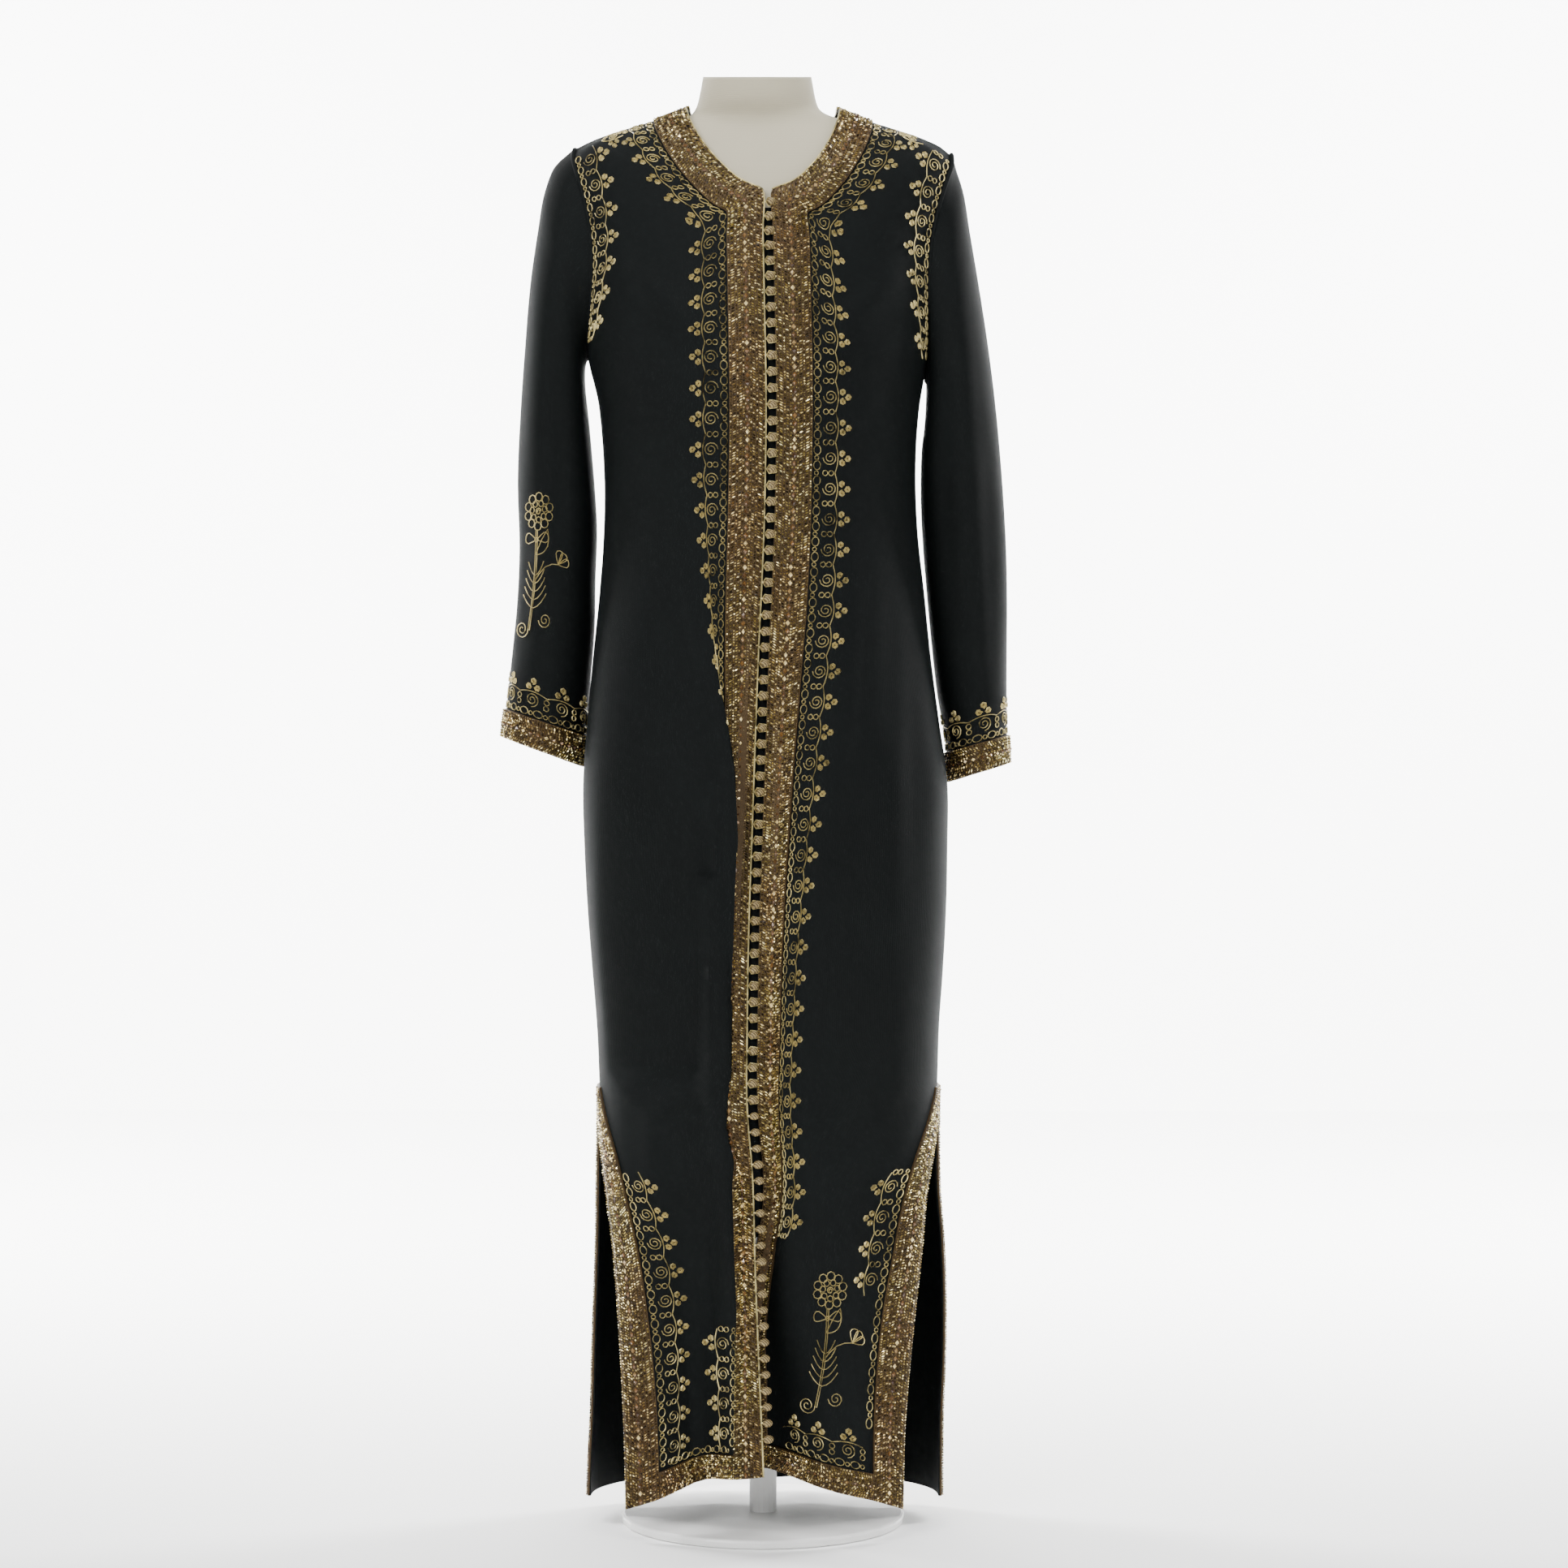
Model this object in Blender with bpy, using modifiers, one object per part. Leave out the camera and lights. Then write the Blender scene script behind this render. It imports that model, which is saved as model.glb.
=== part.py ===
"""Full-length button-front kaftan of black knit on a limbless dress form.

Metres, +Z up, the wearer faces -Y. Origin: centre of the base plate's underside.
"Right" and "left" are the wearer's: right pieces lie at -X, left pieces at +X.
"""
import math

import bpy
from mathutils import Vector

# ---- driving dimensions -------------------------------------------------------------
WALL = 0.0015               # cloth, with its backing
SEAM_GAP = 0.0003           # between two sewn pieces
LAY_GAP = 0.0003            # between a panel and the braid on it
BRAID_CORNER_GAP = 0.0018   # between two braids that meet in a hollow fold
BRAID_WIDTH = 0.036         # front edges, neck and slits
HEM_BRAID = 0.024
BRAID_THICK = 0.0030        # at the raised middle
BRAID_RIM = 0.62            # rim thickness as a share of the middle's
BRAID_STEPS = tuple(BRAID_WIDTH * k / 3 for k in range(4))  # columns over its width
SHORT_ROW_SHARE = 0.34      # the side band takes no more than this of a short row
SQUARENESS = 2.3            # exponent of the body's sections, 2 is an ellipse

SLIT_TOP = 0.447
SHOULDER_SEAM_Y = -0.010    # the seam lies just in front of the shoulder's ridge
RIDGE_LOW = 1.384           # the body is widest here and only narrows above
RIDGE_HIGH = 1.459
CLOSURE_GAP = 0.010         # between the two front edges, bridged by the buttons
NECK_CORNER_Z = 1.348       # where the neckline meets the front edges
NECK_HALF_WIDTH = 0.078
NECK_ROUNDNESS = {"right": 1.45, "left": 1.62}     # exponent of its curve, 1 is a straight V
NECK_ROW_SPREAD = 0.85      # under 1 draws its rows towards the shoulder
NECK_BRAID_END_Y = -0.016   # where the front neck braid's inner line ends at the shoulder
BACK_NECK_Y = 0.052
BACK_NECK_SHAPE = (0.8, 0.9)    # exponents of the back neckline's curve, across and back
BACK_NECK_STEPS = 3         # columns from its corner to the middle
BACK_SHOULDER_STEPS = 4     # columns along a shoulder seam
ARMHOLE_HALF_DEPTH = 0.050
SIDE_CLEAR = 0.05           # degrees between front and back panels at the side seam
BACK_SEAM_GAP = 0.0007      # between front and back panels at the shoulder seam
LINE_STEPS = 80             # samples along a line on the surface
CLIMB_STEPS = (30, 20)      # samples of a back column, below and above its turn
FOLD_SIDE = 0.45            # folds die out below this share of the body's depth

BUTTON_PITCH = 0.0160
BUTTON_RADIUS = 0.0044
BUTTON_NECK = 0.0016
BUTTON_TOP_DROP = 0.012     # first button below the neck corner
BUTTON_BOTTOM_RISE = 0.030  # last button above the hem
BUTTON_SIDES = 5
BUTTON_SEAT = 0.45          # cord height as a share of the braid's thickness
# a knot along the cord: place as a share of the pitch, and radius
BUTTON_PROFILE = ((-0.42, BUTTON_NECK), (-0.26, 0.86 * BUTTON_RADIUS),
                  (0.0, BUTTON_RADIUS), (0.26, 0.86 * BUTTON_RADIUS))

# body sections: half width right (-X) and left (+X), depth in front and behind
BODY_COLUMNS = ("z", "right", "left", "front", "back")
BODY = (
    (0.010, 0.177, 0.180, 0.133, 0.120),
    (0.120, 0.173, 0.181, 0.135, 0.122),
    (0.200, 0.171, 0.184, 0.136, 0.124),
    (0.280, 0.168, 0.182, 0.137, 0.125),
    (0.360, 0.167, 0.177, 0.138, 0.126),
    (0.447, 0.166, 0.177, 0.140, 0.127),
    (0.527, 0.170, 0.180, 0.142, 0.128),
    (0.594, 0.176, 0.185, 0.143, 0.129),
    (0.660, 0.180, 0.187, 0.144, 0.130),
    (0.740, 0.183, 0.188, 0.145, 0.130),
    (0.860, 0.175, 0.173, 0.142, 0.126),
    (0.940, 0.167, 0.165, 0.137, 0.118),
    (1.000, 0.162, 0.158, 0.133, 0.111),
    (1.060, 0.161, 0.155, 0.131, 0.108),
    (1.110, 0.1635, 0.156, 0.134, 0.109),
    (1.150, 0.168, 0.160, 0.137, 0.111),
    (1.193, 0.178, 0.168, 0.136, 0.112),
    (1.240, 0.179, 0.173, 0.129, 0.110),
    (1.290, 0.182, 0.178, 0.117, 0.105),
    (1.330, 0.190, 0.186, 0.104, 0.097),
    (1.360, 0.1965, 0.193, 0.091, 0.088),
    (1.384, 0.2005, 0.196, 0.077, 0.077),
    (1.400, 0.196, 0.190, 0.064, 0.067),
    (1.412, 0.176, 0.170, 0.054, 0.058),
    (1.424, 0.142, 0.136, 0.044, 0.048),
    (1.436, 0.104, 0.100, 0.032, 0.035),
    (1.448, 0.080, 0.078, 0.016, 0.018),
    (1.460, 0.050, 0.050, 0.004, 0.004),
)

# the front closure's line
CLOSURE_COLUMNS = ("z", "x")
CLOSURE = (
    (0.060, 0.0070), (0.093, 0.0062), (0.166, 0.0030), (0.286, -0.0018),
    (0.366, -0.0042), (0.447, -0.0100), (0.567, -0.0090), (0.728, -0.0042),
    (0.888, 0.0014), (1.017, 0.0070), (1.129, 0.0087), (1.260, 0.0065), (1.360, 0.0046),
)

# how far round the section a front panel reaches beside its slit, in degrees
SLIT_COLUMNS = ("z", "right", "left")
SLIT_REACH = (
    (0.000, 47.0, 48.0), (0.120, 50.0, 49.0), (0.200, 53.5, 51.5), (0.290, 60.0, 58.5),
    (0.350, 67.5, 66.0), (0.390, 75.0, 74.0), (0.420, 83.0, 82.5), (0.447, 90.0, 90.0),
)

# soft folds of the front: troughs in depth, placed from the closure's line
FOLD_COLUMNS = ("panel", "x_top", "x_bottom", "z_top", "z_bottom", "depth", "width", "peak")
FOLDS = (
    ("right", -0.010, -0.012, 1.060, 0.400, 0.026, 0.026, 0.45),
    ("left", 0.012, 0.012, 1.050, 0.420, 0.024, 0.040, 0.45),
    ("left", 0.016, 0.026, 0.480, -0.300, 0.074, 0.034, 0.60),
    ("right", -0.062, -0.076, 0.520, -0.300, 0.056, 0.034, 0.60),
    ("right", -0.120, -0.112, 1.100, 0.350, 0.007, 0.022, 0.50),
    ("left", 0.135, 0.140, 1.120, 0.560, 0.009, 0.020, 0.45),
    ("left", 0.120, 0.105, 0.760, -0.100, 0.010, 0.022, 0.60),
    ("back", -0.070, -0.085, 1.150, -0.300, 0.026, 0.032, 0.70),
    ("back", 0.012, 0.004, 1.120, -0.300, 0.032, 0.034, 0.70),
    ("back", 0.085, 0.095, 1.130, -0.300, 0.024, 0.030, 0.70),
)

# below the last fastened button the left front's edge slides behind the right front
SLIDE_TOP = 0.370
SLIDE_FULL = 0.150
SLIDE = 0.040
SLIDE_REACH = 0.120         # how far from the closure the cloth is drawn along

# row heights of a panel below the armhole: first the hem's braid
FRONT_HEM = 0.070
ROWS = (FRONT_HEM, FRONT_HEM + HEM_BRAID / 2, FRONT_HEM + HEM_BRAID, 0.140, 0.190, 0.240,
        0.290, 0.340, 0.380, 0.415, SLIT_TOP, 0.505, 0.565, 0.625, 0.690, 0.755, 0.820,
        0.885, 0.950, 1.010, 1.060, 1.105, 1.145)
HEM_ROWS = 3
HEM_DROP = 0.040            # a front hem's outer corner hangs lower than its inner one
HEM_DROP_ENDS = 0.340
BACK_HEM = 0.024
BACK_HEM_RISE_ENDS = 0.290
UPPER_EDGE_ROWS = (1.185, 1.225, 1.265, 1.302)      # front edge, up to the neck corner
NECK_ROWS = 5
UPPER_STEPS = len(UPPER_EDGE_ROWS) + 1 + NECK_ROWS
SEAM_PHI = 11.5             # where the shoulder seam meets the armhole
INNER_SHARES = (0.10, 0.20, 0.31, 0.44, 0.60, 0.80)  # columns between the two braids
FRONT_COLUMNS = 2 * len(BRAID_STEPS) + len(INNER_SHARES)
ROW_ARCH = 0.010            # rows near the shoulder bow up over it, from this row on
ROW_ARCH_FROM = 5
BACK_TURN_Y = 0.042         # depth where a back column turns onto the shoulder
BACK_TURN_SHARE = 0.8
SHOULDER_TOP_Y = 0.030      # a back point nearer the front than this, and above
SHOULDER_TOP_Z = 1.364      # this height, lies on the shoulder's top

# armholes seen from the side: an upright oval, its centre height and half height, and
# how far the sleeve head stands off its edge
ARMHOLE_COLUMNS = ("centre", "half_height", "set_off")
ARMHOLES = {"right": (1.298, 0.108, 0.0020), "left": (1.284, 0.117, 0.0030)}

# sleeve rings: outer line, inner (underarm) line, depth centre and half depth;
# the last three span the cuff's 29 mm braid
SLEEVE_COLUMNS = ("x_out", "z_out", "x_in", "z_in", "y", "half_depth")
SLEEVES = {
    "right": (
        (0.2130, 1.3880, 0.1850, 1.180, 0.002, 0.053),
        (0.2225, 1.3640, 0.1848, 1.165, 0.003, 0.056),
        (0.2295, 1.3250, 0.1825, 1.145, 0.004, 0.058),
        (0.2370, 1.2720, 0.1798, 1.120, 0.006, 0.059),
        (0.2430, 1.2050, 0.1772, 1.090, 0.008, 0.059),
        (0.2480, 1.1400, 0.1745, 1.055, 0.012, 0.058),
        (0.2515, 1.0700, 0.1728, 1.018, 0.017, 0.056),
        (0.2507, 1.0000, 0.1746, 0.970, 0.023, 0.054),
        (0.2537, 0.9400, 0.1760, 0.915, 0.029, 0.052),
        (0.2592, 0.8850, 0.1805, 0.862, 0.035, 0.050),
        (0.2650, 0.8330, 0.1850, 0.805, 0.040, 0.049),
        (0.2668, 0.8185, 0.1865, 0.789, 0.042, 0.049),
        (0.2687, 0.8040, 0.1880, 0.773, 0.043, 0.049),
    ),
    "left": (
        (0.1965, 1.3880, 0.1705, 1.158, 0.002, 0.053),
        (0.2040, 1.3640, 0.1690, 1.142, 0.003, 0.056),
        (0.2105, 1.3250, 0.1672, 1.122, 0.004, 0.058),
        (0.2195, 1.2720, 0.1645, 1.098, 0.006, 0.059),
        (0.2300, 1.2050, 0.1636, 1.070, 0.008, 0.059),
        (0.2383, 1.1400, 0.1640, 1.038, 0.012, 0.058),
        (0.2450, 1.0700, 0.1662, 1.000, 0.017, 0.056),
        (0.2495, 1.0000, 0.1705, 0.950, 0.023, 0.054),
        (0.2510, 0.9400, 0.1755, 0.900, 0.029, 0.052),
        (0.2510, 0.8850, 0.1815, 0.850, 0.036, 0.050),
        (0.2515, 0.8060, 0.1915, 0.788, 0.042, 0.048),
        (0.2520, 0.7915, 0.1922, 0.7725, 0.043, 0.048),
        (0.2525, 0.7770, 0.1930, 0.757, 0.044, 0.048),
    ),
}
FRONT_PHI = tuple(180.0 - (180.0 - SEAM_PHI) * (k + 0.6) / (UPPER_STEPS - 0.4)
                  for k in range(UPPER_STEPS))
BACK_PHI = (168.0, 148.0, 128.0, 108.0, 88.0, 68.0, 48.0, 28.0, 8.0)
SLEEVE_SIDES = len(FRONT_PHI) + len(BACK_PHI) + 1
ARMHOLE_BOW = 0.015
ARMHOLE_BOW_RINGS = 4       # rings over which the bow dies out
ARMHOLE_BOW_FADE = 1.5
SLEEVE_SET_LOW = 0.0024     # a sleeve stands off a little more at the underarm
SLEEVE_RISE_LOW = 0.0010    # and starts a little higher there

FORM_BOTTOM = 0.720
FORM_HEIGHTS = (FORM_BOTTOM, 0.745, 0.79, 0.85, 0.91, 0.97, 1.03, 1.09, 1.14, 1.18, 1.22,
                1.26, 1.30, 1.33, 1.355, 1.375, 1.39, 1.402, 1.412, 1.421)
# how much smaller than the worn cloth the form is: half width, front, back
SLACK_COLUMNS = ("z", "width", "front", "back")
SLACK = (
    (FORM_BOTTOM, 0.040, 0.062, 0.045), (0.770, 0.020, 0.048, 0.026), (0.850, 0.018, 0.046, 0.022),
    (0.950, 0.026, 0.048, 0.030), (1.030, 0.034, 0.048, 0.030), (1.110, 0.022, 0.030, 0.022),
    (1.180, 0.013, 0.013, 0.013), (1.250, 0.010, 0.008, 0.008), (1.310, 0.006, 0.005, 0.005),
    (1.350, 0.006, 0.005, 0.006), (1.395, 0.010, 0.006, 0.009),
    (1.415, 0.006, 0.005, 0.0095), (1.430, 0.005, 0.005, 0.0085),
)
NECK_COLUMNS = ("z", "half_width", "front", "back")
NECK = (
    (1.4290, 0.1110, 0.0345, 0.0360), (1.4360, 0.0800, 0.0330, 0.0360),
    (1.4430, 0.0655, 0.0370, 0.0400), (1.4510, 0.0612, 0.0415, 0.0440),
    (1.4610, 0.0588, 0.0430, 0.0455), (1.4722, 0.0562, 0.0435, 0.0460),
)
NECK_CENTRE_X = -0.006
NECK_SHIFT_Z = 1.44         # above this the neck's rings take its own centre
FORM_SIDES = 24

POLE_RADIUS = 0.014
SOCKET_GAP = 0.0003         # pole to base plate and pole to form
BASE_RADIUS = 0.145
BASE_THICK = 0.009
BASE_EDGE = 0.003
BASE_SIDES = 32
POLE_SIDES = 16

SIGN = {"right": -1.0, "left": 1.0}
KNIT_BLACK = (0.012, 0.014, 0.017)
GOLD = (0.62, 0.42, 0.16)
CREAM = (0.80, 0.76, 0.68)
WHITE_PAINT = (0.82, 0.82, 0.80)


# ---- reading the tables -------------------------------------------------------------
def read(table, columns, name, z):
    """A column of a table at height z, through its rows by a smooth curve."""
    at = columns.index(name)
    heights = [row[0] for row in table]
    values = [row[at] for row in table]
    if z <= heights[0]:
        return values[0]
    if z >= heights[-1]:
        return values[-1]
    i = max(k for k in range(len(heights) - 1) if heights[k] <= z)
    span = heights[i + 1] - heights[i]
    f = (z - heights[i]) / span

    def slope(k):
        if k == 0 or k == len(heights) - 1:
            return 0.0
        before = (values[k] - values[k - 1]) / (heights[k] - heights[k - 1])
        after = (values[k + 1] - values[k]) / (heights[k + 1] - heights[k])
        if before * after <= 0.0:
            return 0.0
        return 2.0 * before * after / (before + after)

    return ((1 + 2 * f) * (1 - f) ** 2 * values[i] + f * (1 - f) ** 2 * span * slope(i)
            + f * f * (3 - 2 * f) * values[i + 1] + f * f * (f - 1) * span * slope(i + 1))


def body(name, z):
    return read(BODY, BODY_COLUMNS, name, z)


def closure_x(z):
    return read(CLOSURE, CLOSURE_COLUMNS, "x", z)


# ---- the worn body's surface ----------------------------------------------------------
def around(angle, z):
    """Point at an angle in degrees: 0 front, -90 wearer's right side, 180 back."""
    a = math.radians(angle)
    s, c = math.sin(a), math.cos(a)
    wide = body("left" if s > 0 else "right", z)
    deep = body("front" if c > 0 else "back", z)
    x = math.copysign(abs(s) ** (2 / SQUARENESS), s) * wide
    y = -math.copysign(abs(c) ** (2 / SQUARENESS), c) * deep
    return Vector((x, y, z))


def depth_at(x, z, face):
    """Y of the surface in front (face -1) or behind (face 1) at x and z."""
    wide = body("left" if x > 0 else "right", z)
    deep = body("front" if face < 0 else "back", z)
    share = min(1.0, abs(x) / wide)
    return face * deep * (1.0 - share ** SQUARENESS) ** (1 / SQUARENESS)


def width_at(y, z, side):
    """Distance from the middle at depth y and height z."""
    deep = body("front" if y < 0 else "back", z)
    share = min(1.0, abs(y) / deep)
    return body(side, z) * (1.0 - share ** SQUARENESS) ** (1 / SQUARENESS)


def height_at(x, y):
    """Height of the shoulder's surface over x and y."""
    low, high = RIDGE_LOW, RIDGE_HIGH
    for _ in range(40):
        z = 0.5 * (low + high)
        wide = body("left" if x > 0 else "right", z)
        deep = body("front" if y < 0 else "back", z)
        if (abs(x) / wide) ** SQUARENESS + (abs(y) / deep) ** SQUARENESS > 1.0:
            high = z
        else:
            low = z
    return 0.5 * (low + high)


def angle_of(x, z):
    """Front angle of a point at x and z."""
    wide = body("left" if x > 0 else "right", z)
    share = min(1.0, abs(x) / wide)
    return math.copysign(math.degrees(math.asin(share ** (SQUARENESS / 2))), x)


def fold_depth(panel, x, z):
    """How far the folds push the cloth towards the body's middle."""
    total = 0.0
    for row in FOLDS:
        fold = dict(zip(FOLD_COLUMNS, row))
        if fold["panel"] != panel:
            continue
        f = (fold["z_top"] - z) / (fold["z_top"] - fold["z_bottom"])
        if f <= 0.0 or f >= 1.0:
            continue
        peak = fold["peak"]
        rise = f / peak if f < peak else (1.0 - f) / (1.0 - peak)
        centre = closure_x(z) + fold["x_top"] + (fold["x_bottom"] - fold["x_top"]) * f
        swell = rise * rise * (3.0 - 2.0 * rise)
        total += fold["depth"] * swell * math.exp(-((x - centre) / fold["width"]) ** 2)
    return total


def slide(panel, x, z):
    """How far the left front's cloth is drawn sideways, behind the right front."""
    if panel != "left" or z >= SLIDE_TOP:
        return 0.0
    f = min(1.0, (SLIDE_TOP - z) / (SLIDE_TOP - SLIDE_FULL))
    t = min(1.0, max(0.0, (x - closure_x(z)) / SLIDE_REACH))
    return SLIDE * f * f * (3.0 - 2.0 * f) * (1.0 - t) ** 2


def folded(point, panel):
    face = 1.0 if panel == "back" else -1.0
    push = fold_depth(panel, point.x, point.z)
    # folds die out where the cloth turns round the side
    flat = min(1.0, abs(point.y) / (FOLD_SIDE * body("front", point.z)))
    return Vector((point.x - slide(panel, point.x, point.z), point.y - face * push * flat,
                   point.z))


# ---- lines on the surface -------------------------------------------------------------
def length_of(line):
    return sum((b - a).length for a, b in zip(line, line[1:]))


def at_distance(line, distance):
    """The point a given distance along a line."""
    for a, b in zip(line, line[1:]):
        step = (b - a).length
        if distance <= step or b is line[-1]:
            return a.lerp(b, min(1.0, distance / step) if step else 0.0)
        distance -= step
    return line[-1].copy()


def pick(line, starts, ends, shares):
    """Points at set distances from both ends of a line, and at shares of what is between."""
    total = length_of(line)
    first, last = starts[-1], total - ends[-1]
    inner = [first + (last - first) * share for share in shares]
    marks = list(starts) + inner + [total - d for d in reversed(ends)]
    return [at_distance(line, m) for m in marks]


# ---- meshes ---------------------------------------------------------------------------
def new_collection(name):
    collection = bpy.data.collections.new(name)
    bpy.context.scene.collection.children.link(collection)
    return collection


def material(name, colour, roughness, metallic=0.0):
    made = bpy.data.materials.new(name)
    made.use_nodes = True
    shader = made.node_tree.nodes["Principled BSDF"]
    shader.inputs["Base Color"].default_value = (*colour, 1.0)
    shader.inputs["Roughness"].default_value = roughness
    shader.inputs["Metallic"].default_value = metallic
    return made


def add_mesh(name, points, faces, finish):
    mesh = bpy.data.meshes.new(name)
    mesh.from_pydata([tuple(p) for p in points], [], faces)
    mesh.materials.append(finish)
    mesh.shade_smooth()
    mesh.set_sharp_from_angle(angle=math.radians(50))
    made = bpy.data.objects.new(name, mesh)
    GARMENT.objects.link(made)
    return made


def sheet_faces(rows, columns, ring=False):
    """Quads of a grid stored row by row; a ring's last column joins its first."""
    wrap = columns if ring else columns - 1
    return [(r * columns + c, r * columns + (c + 1) % columns,
             (r + 1) * columns + (c + 1) % columns, (r + 1) * columns + c)
            for r in range(rows - 1) for c in range(wrap)]


def face_out(made, outward):
    """Turn an open sheet so that its faces point along outward(centre)."""
    mesh = made.data
    votes = sum(1 if f.normal.dot(outward(f.center)) > 0 else -1 for f in mesh.polygons)
    if votes < 0:
        mesh.flip_normals()
    mesh.update()


def thicken(made, thickness, weights=None):
    """Give an open sheet its wall, outwards; weights thin it towards its rims."""
    solid = made.modifiers.new("wall", "SOLIDIFY")
    solid.thickness = thickness
    solid.offset = 1.0
    solid.use_even_offset = False
    if weights:
        group = made.vertex_groups.new(name="raised")
        for index, weight in enumerate(weights):
            group.add([index], weight, "REPLACE")
        solid.vertex_group = "raised"
        solid.thickness_vertex_group = 0.0


def body_outward(centre):
    return Vector((centre.x, centre.y, max(0.0, centre.z - RIDGE_LOW) * 6.0))


def sheet(name, grid, finish, outward=body_outward, ring=False):
    points = [p for row in grid for p in row]
    made = add_mesh(name, points, sheet_faces(len(grid), len(grid[0]), ring), finish)
    face_out(made, outward)
    thicken(made, WALL)
    return made


def trim_on(name, under, columns_in_row, rows, columns, across, finish, inset=SEAM_GAP / 2):
    """A braid on part of a panel: its grid points moved out past the wall.

    rows and columns are index lists; across says which of them runs over the width, or
    "ring" for a braid right round a sleeve. inset pulls the ends in, clear of the next.
    """
    picked = [[under.data.vertices[r * columns_in_row + c] for c in columns] for r in rows]
    normals = [v.normal.copy() for row in picked for v in row]
    lift = WALL + LAY_GAP
    grid = [[v.co + v.normal * lift for v in row] for row in picked]
    ring = across == "ring"
    if not ring:
        for row in grid:
            row[0] = row[0] + (row[1] - row[0]).normalized() * inset
            row[-1] = row[-1] + (row[-2] - row[-1]).normalized() * inset
    for c in range(len(columns)):
        low, high = grid[0][c], grid[-1][c]
        grid[0][c] = low + (grid[1][c] - low).normalized() * inset
        grid[-1][c] = high + (grid[-2][c] - high).normalized() * inset
    made = add_mesh(name, [p for row in grid for p in row],
                    sheet_faces(len(rows), len(columns), ring), finish)
    first = made.data.polygons[0]
    if first.normal.dot(normals[first.vertices[0]]) < 0:
        made.data.flip_normals()
        made.data.update()
    weights = []
    for r in range(len(rows)):
        for c in range(len(columns)):
            k, last = (c, len(columns) - 1) if across == "columns" else (r, len(rows) - 1)
            weights.append(BRAID_RIM if k in (0, last) else 1.0)
    thicken(made, BRAID_THICK, weights)
    return made


# ---- front panels ---------------------------------------------------------------------
def neckline(side):
    """Front neckline from the corner to the shoulder seam, in the front view."""
    start = closure_x(NECK_CORNER_Z) + SIGN[side] * CLOSURE_GAP / 2
    end = SIGN[side] * NECK_HALF_WIDTH
    top = height_at(end, SHOULDER_SEAM_Y)
    line = []
    for k in range(NECK_ROWS + 1):
        a = math.pi / 2 * (k / NECK_ROWS) ** NECK_ROW_SPREAD
        across = math.sin(a) ** (2 / NECK_ROUNDNESS[side])
        below = math.cos(a) ** (2 / NECK_ROUNDNESS[side]) if k < NECK_ROWS else 0.0
        line.append((start + (end - start) * across,
                     NECK_CORNER_Z + (top - NECK_CORNER_Z) * (1 - below)))
    return line


def armhole(side):
    return dict(zip(ARMHOLE_COLUMNS, ARMHOLES[side]))


def armhole_point(side, phi, face=-1.0):
    """Point of the armhole: phi 180 underarm, 0 the top."""
    oval = armhole(side)
    y = face * ARMHOLE_HALF_DEPTH * abs(math.sin(math.radians(phi)))
    z = oval["centre"] + oval["half_height"] * math.cos(math.radians(phi))
    return Vector((SIGN[side] * width_at(y, z, side), y, z))


def side_height(z):
    """A front row's height at the outer edge: the hem drops towards the slit."""
    return z - HEM_DROP * max(0.0, HEM_DROP_ENDS - z) / (HEM_DROP_ENDS - FRONT_HEM)


def inner_braid_line(edge, side):
    """The edge line moved in by the braid's width, mitred at its corners."""
    moved = []
    for k, here in enumerate(edge):
        before = edge[max(0, k - 1)]
        after = edge[min(len(edge) - 1, k + 1)]
        normals = []
        for a, b in ((before, here), (here, after)):
            dx, dz = b[0] - a[0], b[1] - a[1]
            size = math.hypot(dx, dz)
            if size > 0:
                normals.append((SIGN[side] * abs(dz) / size, -abs(dx) / size))
        nx = sum(n[0] for n in normals) / len(normals)
        nz = sum(n[1] for n in normals) / len(normals)
        square = nx * nx + nz * nz
        moved.append((here[0] + nx / square * BRAID_WIDTH, here[1] + nz / square * BRAID_WIDTH))
    return moved


def upper_front_row(side, outer, turn, end, arch):
    """A row from the front edge or neckline to the armhole, first across the braid."""
    turn = (turn[0], min(turn[1], height_at(turn[0], NECK_BRAID_END_Y)))
    first = [Vector((outer[0] + (turn[0] - outer[0]) * m / 3, 0.0,
                     outer[1] + (turn[1] - outer[1]) * m / 3)) for m in range(4)]
    rest = []
    for m in range(LINE_STEPS + 1):
        f = m / LINE_STEPS
        rest.append(Vector((turn[0] + (end.x - turn[0]) * f, 0.0,
                            turn[1] + (end.z - turn[1]) * f + arch * math.sin(math.pi * f))))
    for p in first + rest:
        p.z = min(p.z, height_at(p.x, SHOULDER_SEAM_Y))
        p.y = depth_at(p.x, p.z, -1.0)
    first = [folded(p, side) for p in first]
    rest = [folded(p, side) for p in rest]
    rest[-1] = end
    spread = length_of(rest)
    strip = min(BRAID_WIDTH, SHORT_ROW_SHARE * spread)
    marks = [(spread - strip) * share for share in INNER_SHARES]
    marks += [spread - strip * k / 3 for k in range(3, 0, -1)]
    return first + [at_distance(rest, m) for m in marks] + [end]


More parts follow.
